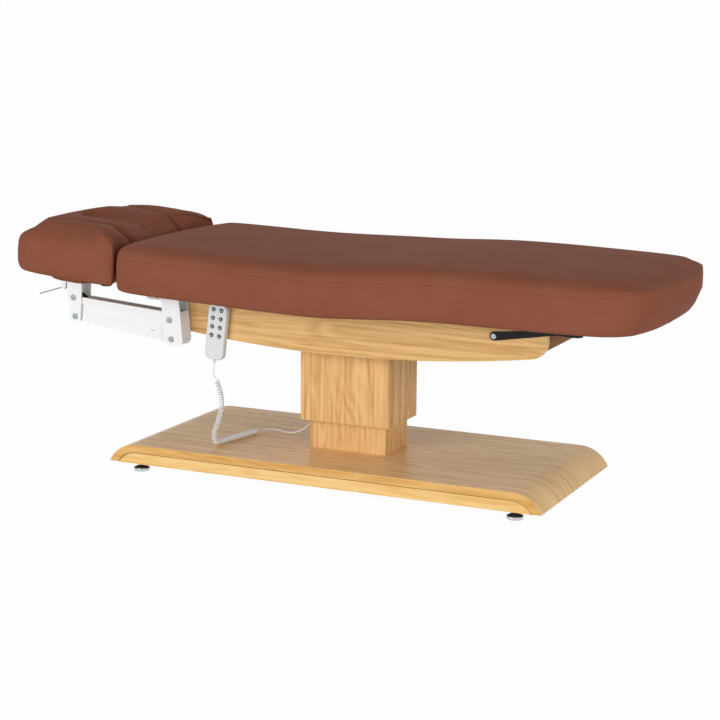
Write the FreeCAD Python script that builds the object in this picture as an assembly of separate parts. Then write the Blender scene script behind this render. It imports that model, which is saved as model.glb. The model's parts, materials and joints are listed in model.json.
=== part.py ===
import FreeCAD, Part
import math
import os

Vector = FreeCAD.Vector
across_bed = Vector(0, 1, 0)
along_bed = Vector(1, 0, 0)

# Driving sizes in mm. X runs from the head (-) to the foot (+), -Y is the side with the handset,
# and X is first counted from the column's middle.
base_length = 1300.0
base_width = 570.0
base_height = 55.0
base_clear = 25.0            # floor to the base's lower edge
base_ply = 22.0
base_end_radius = 92.0
base_end_lift = 2.0          # the bent ends stop this far above the base's lower edge
skirt_thick = 20.0
skirt_recess = 3.0
skirt_chamfer = 2.0
foot_end_inset = 84.0        # from the base's ends and sides to the feet
foot_side_inset = 35.0
foot_radius = 22.5
foot_pad = 9.0
foot_collar = 3.0
foot_edge = 1.5
foot_collar_radius = 16.0
stem_radius = 5.0
block_half = 20.0
block_depth = 54.0
block_bottom = 30.0
block_top = 50.0

inner_x = 235.0
inner_y = 154.0
inner_top = 440.0
outer_x = 273.0
outer_y = 197.0
outer_bottom = 162.0
outer_top = 455.0
column_wall = 12.0
column_round = 4.0
lift_radius = 32.0
lift_bore = 25.0
lift_floor = 10.0
lift_foot = (60.0, 50.0, 8.0)  # half sizes along X and Y, and thickness
lift_top = 385.0
ram_bottom = 100.0
top_plate = 8.0
top_plate_x = 180.0
plate_flange = 24.0
plate_flange_thick = 6.0

rail_face = 180.0            # outer face of each rail, from the middle
rail_thick = 22.0
rail_head = -490.0
rail_foot = 616.0
belly_x = 30.0
belly_z = 372.7
belly_radius = 3840.0
rail_corner = 45.0
rail_head_corner = 25.0
end_board = 18.0
end_blank = 200.0
end_lip = 12.0               # flat stretch beyond the rounded corner
end_inner_round = 2.0

board_top = 509.0
board_thick = 18.0
board_half = 240.0
calf_board_half = 225.0
board_setback = 10.0         # from a hinge axis to the board's edge
back_axis_x = -200.0
thigh_axis_x = 100.0
thigh_axis_z = 488.0         # under the boards, so that the calf links slope upwards
knee_axis_x = 330.0
back_board_head = -570.0
calf_board_foot = 850.0
back_board_round = 60.0
calf_board_round = 90.0
back_tilt = 2.0              # at rest, head end up
thigh_tilt = 2.4             # at rest, knee up
calf_tilt = 0.6              # at rest, foot end down
back_travel = 48.0
thigh_travel = 25.0
bend_spare = 1.0             # degrees between the pads at full travel
kerf = 0.3                   # between neighbouring pads

lug_thick = 6.0
lug_radius = 8.0
lug_reach = 55.0
lug_plate = 4.0
lug_y = 60.0
pin_radius = 4.0
fit = 0.05                   # running clearance of pins
side_gap = 0.3               # between sliding faces

lever_length = 93.0
lever_thick = 6.0
lever_pin = 5.0
lever_head = 12.0
lever_root = (16.0, 110.0)   # where the plate meets its board, from the hinge axis
lever_round = 8.0
drive_y = 128.0
drive_radius = 21.0
drive_length = 220.0
drive_start = 20.0
rod_radius = 10.0
fork_thick = 8.0
fork_half_height = 20.0
fork_reach = 18.0
fork_lip = 4.0
rod_stop = 40.0              # from the drive tube's end to the rod's inner end
slot_spare = 1.3
motor_length = 80.0
motor_rise = 34.0
motor_set = 4.0
clamp_length = 50.0
clamp_set = 60.0
clamp_half = 12.0
drive_floor = 12.0

link_x = 472.0
link_z = 465.6
link_thick = 5.0
link_end = 12.0
link_waist = 6.0
link_eye = 8.0
link_bolt = 5.0
link_pin = 4.0
link_crank = (60.0, 0.0)     # from the outer pivot to the bend
link_head = 8.0
link_head_thick = 4.0
link_tab = 5.0

bracket_face = 235.0         # outer face of each head bracket, from the middle
bracket_width = 50.0
bracket_plate = 4.0
arm_plate = 4.0
lower_plate = 3.0
rear_up = (-478.0, 438.5)
rear_low = (-472.7, 384.6)
arm_run = (-317.0, 40.8)     # from a rear bolt to its front bolt
arm_above = 21.0             # upper arm, above and below its bolts
arm_below = 13.0
arm_taper = 3.1              # degrees by which its top edge closes in on the bolts towards the head
lower_above = 38.5
lower_below = 12.0
arm_bolt = 6.0
bolt_head = 8.5
bolt_head_thick = 3.0
bolt_dome = 1.5
bush_radius = 9.5
web_inset = 34.0             # from a pivot to the end of the upper arm's web
bracket_half = 29.0
bracket_shift = 7.0          # plate's middle from its upper bolt, to the foot
web_set = 1.0
web_gap = 2.0
roof_set = 6.0
bracket_tip = 18.0           # plate below the lower bolt
bracket_round = 20.0
bracket_web_top = 455.0
upright_top_half = 26.0
upright_low_half = 17.0
upright_tip = 13.0           # plate below the lower bolt
upright_round = 11.0
flange_thick = 4.0
flange_reach = 30.0
head_board_thick = 18.0
head_pivot = (-640.0, 529.0)
head_tilt = 4.8
head_thick = 140.0           # to the edge of the head cushion's crowned upper face
head_crown = 12.0
groove_y = 180.0
groove_deep = 30.0
groove_wide = 18.0
groove_floor = 0.14          # share of the groove's width
plug_gap = 0.6
plug_sink = 1.0
plug_ledge = 12.0            # of the head board, under the plug
plug_rim = 4.0

trigger_length = 92.0
trigger_wide = 16.0
trigger_thick = 3.0
trigger_pin = 3.0
trigger_eye = 5.5
trigger_round = 6.0
trigger_slope = 22.2
trigger_set = 18.0           # pin from the upright's edge, and below its flange
trigger_drop = 18.0
ear_half = 7.5

mattress_rise = 131.0        # to the edge of the mattress's crowned upper face
crown_rise = 8.0
soft_edge = ((0, 10), (10, 1), (95, 0), (118, 14), (131, 50))  # height, and draw-in there
crown_end = 0.12
crown_width = 0.45

handset_bottom = (-357.5, 331.0)
handset_lean = 6.3
handset_length = 160.0
handset_width = 59.0
handset_thick = 17.0
handset_round = 18.0
handset_edge = 4.0
hook_thick = 6.0
hook_wide = 30.0
hook_tall = 44.0
hook_up = 100.0
button_radius = 6.0
button_pitch = 24.6
button_row = 69.6            # lowest row above the handset's lower end
button_proud = 1.5
button_deep = 4.0
button_travel = 1.2
button_gap = 0.3
button_edge = 0.8
relief_radius = 4.5
relief_length = 11.0
relief_tip = 3.1
gland_radius = 6.0
gland_length = 8.0
gland_y = -40.0

cord_radius = 1.9
curl_radius = 5.3            # from the curl's middle line to the wire's
hang_turns = 30
lie_turns = 32
curl_start = (-350.0, 268.0)
curl_bow = 15.0
curl_drift = 11.0
curl_bend = 27.0
curl_lie = 160.0
curl_heading = 11.5          # degrees from straight across, to the foot
curl_hang_share = 0.56       # of the middle line, taken by the hanging turns
lead_straight = 34.0
lead_runs = ((78.5, 16.0, 0.0), (40.0, 26.0, 0.0), (-5.0, 28.0, 0.5), (-38.0, 35.0, 2.0), (-35.0, 38.0, 5.0),
             (-25.0, 37.0, 11.0))  # heading, run and rise of the free lead
lead_dip = 2.0
lead_last = 16.0             # straight run up into the gland

# Half outlines, x and y from the head to the foot on one side of the middle
head_half = [(-990, 70), (-985, 160), (-976, 240), (-960, 288), (-912, 307), (-830, 311),
             (-750, 311), (-684, 305), (-647, 284), (-641, 225), (-651, 90)]
plug_half = [(-906, 26), (-884, 46), (-815, 45), (-745, 25), (-706, 8)]
head_board_half = [(-905, 110), (-893, 205), (-850, 242), (-765, 242), (-752, 205), (-735, 165),
                   (-722, 90)]
mattress_half = [(-640, 105), (-629, 235), (-610, 313), (-552, 339), (-430, 346), (-300, 345),
                 (-100, 369), (45, 389), (205, 363), (400, 352), (560, 355), (690, 352),
                 (810, 338), (890, 298), (921, 210), (930, 95)]

# Sizes worked out from the ones above
base_top = base_clear + base_height
ply_under = base_top - base_ply
foot_x = base_length / 2 - foot_end_inset
foot_y = base_width / 2 - foot_side_inset
board_under = board_top - board_thick
axis_z = board_top - board_thick / 2
rail_inside = rail_face - rail_thick
back_lean = (back_tilt + back_travel + bend_spare) / 2
thigh_lean = (thigh_tilt + thigh_travel + bend_spare) / 2
knee_lean = (thigh_tilt + calf_tilt) / 2
front_up = (rear_up[0] + arm_run[0], rear_up[1] + arm_run[1])
front_low = (rear_low[0] + arm_run[0], rear_low[1] + arm_run[1])
handset_back = -rail_face - hook_thick
handset_front = handset_back - handset_thick
back_axis = (back_axis_x, axis_z)
thigh_axis = (thigh_axis_x, thigh_axis_z)
knee_axis = (knee_axis_x, axis_z)
arm_lean = math.degrees(math.atan2(arm_run[1], -arm_run[0]))
far_away = 4000.0


def box(x0, x1, y0, y1, z0, z1):
    return Part.makeBox(x1 - x0, y1 - y0, z1 - z0, Vector(x0, y0, z0))


def across(x, z, y0, y1, radius):
    # a round bar along Y
    return Part.makeCylinder(radius, y1 - y0, Vector(x, y0, z), across_bed)


def turned(shape, x, z, degrees):
    # turned about the line along Y through x, z; positive lifts the head side
    copy = shape.copy()
    copy.rotate(Vector(x, 0, z), across_bed, degrees)
    return copy


def turned_point(point, x, z, degrees):
    a = math.radians(degrees)
    dx = point[0] - x
    dz = point[1] - z
    return (x + dx * math.cos(a) + dz * math.sin(a), z - dx * math.sin(a) + dz * math.cos(a))


def mirrored(shape):
    return shape.mirror(Vector(0, 0, 0), across_bed)


def both_sides(shape):
    return Part.makeCompound([shape, mirrored(shape)])


def rounded_wire(points, share=0.45, radius=None, soft=None):
    # closed outline of straight runs joined by tangent arcs; corners with soft 0 stay square
    count = len(points)
    arcs = []
    for i in range(count):
        here = points[i]
        if soft and not soft[i]:
            arcs.append((here, None, here))
            continue
        back = points[i - 1] - here
        ahead = points[(i + 1) % count] - here
        half_turn = (math.pi - back.getAngle(ahead)) / 2
        reach = share * min(back.Length, ahead.Length)
        if radius is not None:
            reach = min(reach, radius * math.tan(half_turn))
        back.normalize()
        ahead.normalize()
        middle = back + ahead
        middle.normalize()
        depth = reach / math.tan(half_turn) * (1 / math.cos(half_turn) - 1)
        arcs.append((here + back * reach, here + middle * depth, here + ahead * reach))
    edges = []
    for i in range(count):
        start, middle, end = arcs[i]
        if middle:
            edges.append(Part.Arc(start, middle, end).toShape())
        edges.append(Part.LineSegment(end, arcs[(i + 1) % count][0]).toShape())
    return Part.Wire(edges)


def side_plate(outline, y0, y1, radius):
    # an upright plate with its x, z outline rounded at the corners
    wire = rounded_wire([Vector(x, y0, z) for x, z in outline], 0.49, radius)
    return Part.Face(wire).extrude(Vector(0, y1 - y0, 0))


def bar(a, b, half_a, half_b, y0, y1):
    # a flat bar with round ends between two pivots, tapering from half_a to half_b
    run = Vector(b[0] - a[0], 0, b[1] - a[1])
    run.normalize()
    up = Vector(-run.z, 0, run.x)
    start = Vector(a[0], y0, a[1])
    end = Vector(b[0], y0, b[1])
    edges = [
        Part.LineSegment(start + up * half_a, end + up * half_b).toShape(),
        Part.Arc(end + up * half_b, end + run * half_b, end - up * half_b).toShape(),
        Part.LineSegment(end - up * half_b, start - up * half_a).toShape(),
        Part.Arc(start - up * half_a, start - run * half_a, start + up * half_a).toShape(),
    ]
    return Part.Face(Part.Wire(edges)).extrude(Vector(0, y1 - y0, 0))


def drawn_in(outline, depth):
    # the x, y outline moved inwards by depth
    count = len(outline)
    moved = []
    for i in range(count):
        here = Vector(outline[i][0], outline[i][1], 0)
        before = here - Vector(outline[i - 1][0], outline[i - 1][1], 0)
        after = Vector(outline[(i + 1) % count][0], outline[(i + 1) % count][1], 0) - here
        before.normalize()
        after.normalize()
        n1 = Vector(-before.y, before.x, 0)
        n2 = Vector(-after.y, after.x, 0)
        p = here + (n1 + n2) * (depth / (1 + n1.dot(n2)))
        moved.append((p.x, p.y))
    return moved


def mirrored_outline(half):
    # half lists x, y from the head to the foot on the +Y side; the loop runs anticlockwise
    far = [(x, y) for x, y in reversed(half)]
    near = [(x, -y) for x, y in half]
    return near + far


def soft_levels(rise):
    # height above the board, and how far the outline is drawn in there
    soft = rise / mattress_rise
    return [(height * soft, depth * soft) for height, depth in soft_edge]


def crown_of(outline):
    # the narrow outline that lifts the middle of the upper face; only its ends are drawn in
    ends = [x for x, y in outline]
    middle = (min(ends) + max(ends)) / 2
    span = (max(ends) - min(ends)) / 2
    loop = []
    for x, y in outline:
        share = (x - middle) / span
        loop.append((middle + span * share * (1 - crown_end * share ** 4), y * crown_width))
    return loop


def cushion(outline, rise, bottom, crown):
    # crowned upholstery: a loft of plan outlines, drawn in at the lower and upper edges
    levels = soft_levels(rise)
    wires = []
    for height, depth in levels:
        loop = drawn_in(outline, depth)
        wires.append(rounded_wire([Vector(x, y, bottom + height) for x, y in loop]))
    loop = crown_of(drawn_in(outline, levels[-1][1]))
    wires.append(rounded_wire([Vector(x, y, bottom + rise + crown) for x, y in loop]))
    return Part.makeLoft(wires, True, True)


def base_profile(radius, low):
    # half the base's end: start and middle of the bent stretch, and its end at height low
    outer_angle = end_angle(base_end_radius, base_clear + base_end_lift)
    centre_x = base_length / 2 - base_end_radius * math.sin(outer_angle)
    angle = end_angle(radius, low)
    centre_z = base_top - base_end_radius
    points = []
    for part in (0, 0.5, 1):
        a = angle * part
        points.append((centre_x + radius * math.sin(a), centre_z + radius * math.cos(a)))
    return points


def end_angle(radius, low):
    return math.acos((low - base_top + base_end_radius) / radius)


def base_outline(start, middle, end, y):
    # edges of the upper boundary from the -X end over the top to the +X end
    def at(p, sign):
        return Vector(sign * p[0], y, p[1])
    return [
        Part.Arc(at(end, -1), at(middle, -1), at(start, -1)).toShape(),
        Part.LineSegment(at(start, -1), at(start, 1)).toShape(),
        Part.Arc(at(start, 1), at(middle, 1), at(end, 1)).toShape(),
    ]


def make_base_board():
    low = base_clear + base_end_lift
    y = -base_width / 2
    outside = base_profile(base_end_radius, low)
    inside = base_profile(base_end_radius - base_ply, low)
    edges = base_outline(*outside, y) + base_outline(*inside, y)
    for sign in (-1, 1):
        a = Vector(sign * outside[2][0], y, outside[2][1])
        b = Vector(sign * inside[2][0], y, inside[2][1])
        edges.append(Part.LineSegment(a, b).toShape())
    wire = Part.Wire(Part.__sortEdges__(edges))
    return Part.Face(wire).extrude(Vector(0, base_width, 0))


def make_skirts():
    inside = base_profile(base_end_radius - base_ply - side_gap, base_clear)
    y = -base_width / 2 + skirt_recess
    edges = base_outline(*inside, y)
    a = Vector(-inside[2][0], y, inside[2][1])
    b = Vector(inside[2][0], y, inside[2][1])
    edges.append(Part.LineSegment(a, b).toShape())
    wire = Part.Wire(Part.__sortEdges__(edges))
    skirt = Part.Face(wire).extrude(Vector(0, skirt_thick, 0))
    rim = [e for e in skirt.Edges
           if abs(e.CenterOfMass.y - y) < 0.1 and e.CenterOfMass.z > base_clear + 1]
    return both_sides(skirt.makeChamfer(skirt_chamfer, rim))


def make_blocks():
    blocks = []
    inner = base_width / 2 - skirt_recess - skirt_thick
    for sx in (-1, 1):
        block = box(sx * foot_x - block_half, sx * foot_x + block_half,
                    -inner, -inner + block_depth, block_bottom, block_top)
        bore = Part.makeCylinder(stem_radius + fit, base_height, Vector(sx * foot_x, -foot_y, base_clear))
        block = block.cut(bore)
        blocks += [block, mirrored(block)]
    return Part.makeCompound(blocks)


def make_foot(sx, sy):
    at = Vector(sx * foot_x, sy * foot_y, 0)
    pad = Part.makeCylinder(foot_radius, foot_pad, at)
    pad = pad.makeFillet(foot_edge, [pad.Edges[0], pad.Edges[2]])
    collar = Part.makeCylinder(foot_collar_radius, foot_collar, at + Vector(0, 0, foot_pad))
    stem = Part.makeCylinder(stem_radius, block_top - foot_pad, at + Vector(0, 0, foot_pad))
    return pad.fuse(collar).fuse(stem).removeSplitter()


def column_box(x, y, low, high, wall):
    outside = box(-x / 2, x / 2, -y / 2, y / 2, low, high)
    upright = [e for e in outside.Edges if abs(e.tangentAt(e.FirstParameter).z) > 0.9]
    outside = outside.makeFillet(column_round, upright)
    inside = box(wall - x / 2, x / 2 - wall, wall - y / 2, y / 2 - wall, low, high)
    return outside.cut(inside)


def make_lift_tube():
    tube = Part.makeCylinder(lift_radius, lift_top - base_top, Vector(0, 0, base_top))
    bore = Part.makeCylinder(lift_bore + fit, lift_top, Vector(0, 0, base_top + lift_floor))
    half_x, half_y, thick = lift_foot
    foot = box(-half_x, half_x, -half_y, half_y, base_top, base_top + thick)
    return tube.fuse(foot).cut(bore)


def make_lift_ram():
    return Part.makeCylinder(lift_bore, outer_top - ram_bottom, Vector(0, 0, ram_bottom))


def make_top_plate():
    half = top_plate_x / 2
    plate = box(-half, half, -rail_inside, rail_inside, outer_top, outer_top + top_plate)
    flange = box(-half, half, -rail_inside, -rail_inside + plate_flange_thick,
                 outer_top, outer_top + plate_flange)
    return plate.fuse(flange).fuse(mirrored(flange)).removeSplitter()


def belly(x):
    return belly_z + belly_radius - math.sqrt(belly_radius ** 2 - (x - belly_x) ** 2)


def make_rail():
    # straight upper edge, belly in one long arc, rounded lower corners
    y = -rail_face
    blank = box(rail_head, rail_foot, y, y + rail_thick, belly_z - rail_thick, board_under)
    centre = Vector(belly_x, y, belly_z + belly_radius)
    disc = Part.makeCylinder(belly_radius, rail_thick, centre, across_bed)
    rail = blank.common(disc)
    low = []
    for x, r in ((rail_head, rail_head_corner), (rail_foot, rail_corner)):
        corner = Vector(x, y + rail_thick / 2, belly(x))
        edge = min(rail.Edges, key=lambda e: e.CenterOfMass.distanceToPoint(corner))
        low.append((edge, r))
    for edge, r in low:
        here = edge.CenterOfMass
        match = min(rail.Edges, key=lambda e: e.CenterOfMass.distanceToPoint(here))
        rail = rail.makeFillet(r, [match])
    return rail


def make_end_boards():
    # rolled boards that close the rails' ends, with the rails' own rounded corner
    def end_piece(x, corner, inwards):
        low = belly(x)
        deep = x + inwards * end_blank
        outside = box(min(x, deep), max(x, deep), -rail_inside, rail_inside, low, board_under)
        outside = outside.makeFillet(corner, [lower_edge(outside, x, low)])
        x_in = x + inwards * end_board
        deeper = x + 2 * inwards * end_blank
        inside = box(min(x_in, deeper), max(x_in, deeper), -far_away, far_away, low + end_board, far_away)
        round_in = max(corner - end_board, end_inner_round)
        inside = inside.makeFillet(round_in, [lower_edge(inside, x_in, low + end_board)])
        shell = outside.cut(inside)
        stop = x + inwards * (corner + end_lip)
        return shell.common(box(min(x, stop), max(x, stop), -far_away, far_away, 0, far_away))

    def lower_edge(blank, x, z):
        return min(blank.Edges, key=lambda e: abs(e.CenterOfMass.x - x) + abs(e.CenterOfMass.z - z))

    foot = end_piece(rail_foot, rail_corner, -1)
    head = end_piece(rail_head, rail_head_corner, 1)
    return Part.makeCompound([foot, head])


def board(x0, x1, half, round_head, round_foot):
    blank = box(x0, x1, -half, half, board_under, board_top)
    picks = []
    for edge in blank.Edges:
        if abs(edge.tangentAt(edge.FirstParameter).z) > 0.9:
            if edge.CenterOfMass.x < (x0 + x1) / 2 and round_head:
                picks.append(edge)
            if edge.CenterOfMass.x > (x0 + x1) / 2 and round_foot:
                picks.append(edge)
    if picks:
        blank = blank.makeFillet(max(round_head, round_foot), picks)
    return blank


def back_pose(shape):
    return turned(shape, back_axis_x, axis_z, back_tilt)


def thigh_pose(shape):
    return turned(shape, thigh_axis_x, thigh_axis_z, -thigh_tilt)


def knee_point():
    # the knee hinge's axis at rest
    return turned_point((knee_axis_x, axis_z), thigh_axis_x, thigh_axis_z, -thigh_tilt)


def calf_pose(shape):
    knee = knee_point()
    copy = turned(shape, knee_axis_x, axis_z, calf_tilt)
    copy.translate(Vector(knee[0] - knee_axis_x, 0, knee[1] - axis_z))
    return copy


def hinge_lug(axis, y0, toward):
    # a strap under a board with an upright ear on the hinge axis; toward is +1 for the foot side
    x, z = axis
    under = board_under - lug_plate
    ear = across(x, z, y0, y0 + lug_thick, lug_radius)
    x1 = x + toward * (board_setback - 1)
    post = box(min(x, x1), max(x, x1), y0, y0 + lug_thick, min(z, under), max(z, board_under))
    x2 = x + toward * lug_reach
    strap = box(min(x, x2), max(x, x2), y0, y0 + lug_thick, under, board_under)
    return ear.fuse(post).fuse(strap).removeSplitter()


def fixed_lug(axis, toward):
    # carries the hinge pin, which stands through the moving lug beside it
    lug = hinge_lug(axis, -lug_y, toward)
    pin = across(axis[0], axis[1], -lug_y, -lug_y + 2 * lug_thick + side_gap, pin_radius)
    return lug.fuse(pin).removeSplitter()


def moving_lug(axis, toward):
    y0 = -lug_y + lug_thick + side_gap
    lug = hinge_lug(axis, y0, toward)
    return lug.cut(across(axis[0], axis[1], y0 - 1, y0 + lug_thick + 1, pin_radius + fit))


def lever(axis, toward, angle, y_side):
    # a plate under a board whose pin drives it; angle is the pin's lean from straight down, to +X
    x, z = axis
    a = math.radians(angle)
    pin = (x + lever_length * math.sin(a), z - lever_length * math.cos(a))
    gap = fork_thick / 2 + side_gap
    y0 = y_side * drive_y + (gap if y_side < 0 else -gap - lever_thick)
    outline = [(x + toward * lever_root[0], board_under),
               (pin[0] - toward * lever_head, pin[1] - lever_head / 2),
               (pin[0] + toward * lever_head, pin[1] - lever_head),
               (x + toward * lever_root[1], board_under)]
    plate = side_plate(outline, y0, y0 + lever_thick, lever_round)
    far = y_side * (drive_y + gap)
    stud = across(pin[0], pin[1], min(y0, far), max(y0 + lever_thick, far), lever_pin)
    return plate.fuse(stud).removeSplitter()


def drive_height(axis, angle):
    return axis[1] - lever_length * math.cos(math.radians(angle))


def make_drive_body(y_side, toward, height):
    # linear drive: tube with its motor above, clamped to the rail; its rod points to toward
    x0 = -toward * drive_start
    x1 = x0 - toward * drive_length
    y = y_side * drive_y
    tube = Part.makeCylinder(drive_radius, drive_length, Vector(min(x0, x1), y, height), along_bed)
    motor_x0 = x1 + toward * motor_set
    motor_x1 = motor_x0 + toward * motor_length
    motor = box(min(motor_x0, motor_x1), max(motor_x0, motor_x1), y - drive_radius + 1, y + drive_radius - 1,
                height - motor_set, height + motor_rise)
    rail_y = y_side * rail_inside
    clamp_x = x0 - toward * clamp_set
    clamp = box(min(clamp_x, clamp_x - toward * clamp_length), max(clamp_x, clamp_x - toward * clamp_length),
                min(y, rail_y), max(y, rail_y), height - clamp_half, height + clamp_half)
    bore_length = drive_length - drive_floor
    bore_x = x0 - toward * bore_length
    bore = Part.makeCylinder(rod_radius + fit, bore_length, Vector(min(x0, bore_x), y, height), along_bed)
    return tube.fuse(motor).fuse(clamp).cut(bore).removeSplitter()


def make_drive_rod(y_side, toward, axis, angle):
    # rod with a fork plate; its upright slot lets the lever's pin rise and fall
    height = drive_height(axis, angle)
    y = y_side * drive_y
    pin_x = axis[0] + lever_length * math.sin(math.radians(angle))
    inner = -toward * (drive_start + drive_length - rod_stop)
    tip = pin_x - toward * fork_reach
    rod = Part.makeCylinder(rod_radius, abs(tip - inner), Vector(min(tip, inner), y, height),
                            along_bed)
    lowest = axis[1] - lever_length
    fork_half = fork_reach + fork_lip
    fork = box(pin_x - fork_half, pin_x + fork_half, y - fork_thick / 2, y + fork_thick / 2,
               lowest - fork_half_height, height + fork_half_height)
    wide = lever_pin + slot_spare
    slot = box(pin_x - wide, pin_x + wide, y - fork_thick, y + fork_thick, lowest - wide, height + wide)
    return rod.fuse(fork).cut(slot).removeSplitter()


def link_far_point():
    # the link, the thigh board and both pivots on the bed make a parallelogram
    knee = knee_point()
    return (link_x + knee[0] - thigh_axis_x, link_z + knee[1] - thigh_axis_z)


def make_link():
    # cranked flat bar outside the rail: rises from its rail pivot, then levels to the calf pivot
    end = link_far_point()
    y0 = -rail_face - side_gap - link_thick
    crank = (end[0] - link_crank[0], end[1] + link_crank[1])
    first = bar((link_x, link_z), crank, link_end, link_waist, y0, y0 + link_thick)
    second = bar(crank, end, link_waist, link_eye, y0, y0 + link_thick)
    link = first.fuse(second)
    for (x, z), radius in (((link_x, link_z), link_bolt), (end, link_pin)):
        link = link.cut(across(x, z, y0 - 1, y0 + link_thick + 1, radius + fit))
    return link.removeSplitter()


def make_link_bolt():
    # shoulder bolt from the rail through the link, with a domed head outside
    y0 = -rail_face - link_thick - 2 * side_gap
    shank = across(link_x, link_z, y0, -rail_face, link_bolt)
    head = across(link_x, link_z, y0 - link_head_thick, y0, link_head)
    rim = [e for e in head.Edges if abs(e.CenterOfMass.y - y0 + link_head_thick) < 0.1]
    head = head.makeFillet(bolt_dome, rim)
    return shank.fuse(head).removeSplitter()


def make_calf_tab():
    # plate under the calf board with the link's outer pivot pin
    end = link_far_point()
    y1 = -rail_face + link_tab
    x, z = calf_flat(end)
    low = z - link_eye
    tab = side_plate([(x - 3 * link_eye, board_under), (x - link_eye, low), (x + link_eye, low),
                      (x + 3 * link_eye, board_under)], -rail_face, y1, link_eye)
    pin = across(end[0], end[1], -rail_face - link_thick - 2 * side_gap, y1, link_pin)
    return calf_pose(tab).fuse(pin).removeSplitter()


def calf_flat(point):
    # a point given at rest, moved back to where the calf board lies before its pose
    knee = knee_point()
    moved = (point[0] - knee[0] + knee_axis_x, point[1] - knee[1] + axis_z)
    return turned_point(moved, knee_axis_x, axis_z, -calf_tilt)


def back_flat(point):
    return turned_point(point, back_axis_x, axis_z, -back_tilt)


def make_rear_bracket():
    # two side plates under the back board and a web that closes their foot side below
    middle = -bracket_face + bracket_width / 2
    up = back_flat(rear_up)
    low = back_flat(rear_low)
    lean = (low[0] - up[0]) / (up[1] - low[1])
    foot_low = low[1] - bracket_tip
    centre = up[0] + bracket_shift

    def edge(offset, z):
        return (centre + offset + lean * (up[1] - z), z)
    roof_z = board_under + bracket_round
    outline = [edge(-bracket_half, roof_z), edge(-bracket_half, foot_low),
               edge(bracket_half, foot_low), edge(bracket_half, roof_z)]
    below = box(-far_away, 0, -far_away, 0, -far_away, board_under)
    sides = []
    for y0 in (middle - bracket_width / 2, middle + bracket_width / 2 - bracket_plate):
        sides.append(side_plate(outline, y0, y0 + bracket_plate, bracket_round).common(below))
    inner = bracket_width / 2 - bracket_plate
    web_outline = [edge(bracket_half - web_set - bracket_plate, bracket_web_top),
                   edge(bracket_half - web_set - bracket_plate, foot_low + bracket_round + web_gap),
                   edge(bracket_half - web_set, foot_low + bracket_round + web_gap),
                   edge(bracket_half - web_set, bracket_web_top)]
    loop = [Vector(x, middle - inner, z) for x, z in web_outline]
    web = Part.Face(Part.makePolygon(loop + [loop[0]])).extrude(Vector(0, 2 * inner, 0))
    roof_x = centre + lean * (up[1] - board_under)
    roof_half = bracket_half - roof_set
    roof = box(roof_x - roof_half, roof_x + roof_half, middle - inner, middle + inner,
               board_under - flange_thick, board_under)
    bracket = back_pose(sides[0].fuse([sides[1], web, roof]))
    for x, z in (rear_up, rear_low):
        bracket = bracket.cut(across(x, z, -far_away, far_away, arm_bolt + fit))
    return bracket.removeSplitter()


def pivot_bolts(points):
    # one bolt through both side plates at each pivot, with a domed head outside
    middle = -bracket_face + bracket_width / 2
    out = middle - bracket_width / 2
    bolts = []
    for x, z in points:
        shank = across(x, z, out, middle + bracket_width / 2, arm_bolt)
        head = across(x, z, out - bolt_head_thick, out, bolt_head)
        rim = [e for e in head.Edges if abs(e.CenterOfMass.y - out + bolt_head_thick) < 0.1]
        head = head.makeFillet(bolt_dome, rim)
        bolt = shank.fuse(head).removeSplitter()
        bolts += [bolt, mirrored(bolt)]
    return Part.makeCompound(bolts)


def arm_line(a, b, above, below):
    # the arm's middle line, and half its height, from what lies above and below the bolts
    lift = (above - below) / 2
    length = math.hypot(b[0] - a[0], b[1] - a[1])
    side = (-(b[1] - a[1]) / length * lift, (b[0] - a[0]) / length * lift)
    return (a[0] - side[0], a[1] - side[1]), (b[0] - side[0], b[1] - side[1]), (above + below) / 2


def make_upper_arm():
    # channel with a closed top: two tapering bars, a web along their upper edges, a bush at each pivot
    width = bracket_width - 2 * bracket_plate - 2 * side_gap
    middle = -bracket_face + bracket_width / 2
    start, end, half = arm_line(rear_up, front_up, arm_above, arm_below)
    whole = bar(start, end, half, half, middle - width / 2, middle + width / 2)
    above = box(-far_away, far_away, -far_away, far_away, rear_up[1] + arm_above, far_away)
    whole = whole.cut(turned(above, rear_up[0], rear_up[1], arm_lean - arm_taper))
    hollow = box(-far_away, far_away, middle - width / 2 + arm_plate, middle + width / 2 - arm_plate,
                 -far_away, far_away)
    web = box(front_up[0] + web_inset, rear_up[0] - web_inset, middle - width / 2, middle + width / 2,
              rear_up[1] + arm_above - lower_plate, rear_up[1] + 2 * arm_above)
    web = turned(web, rear_up[0], rear_up[1], arm_lean - arm_taper)
    arm = whole.cut(hollow).fuse(whole.common(web))
    for x, z in (rear_up, front_up):
        arm = arm.fuse(across(x, z, middle - width / 2, middle + width / 2, bush_radius))
    for x, z in (rear_up, front_up):
        arm = arm.cut(across(x, z, -far_away, far_away, arm_bolt + fit))
    return arm.removeSplitter()


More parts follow.
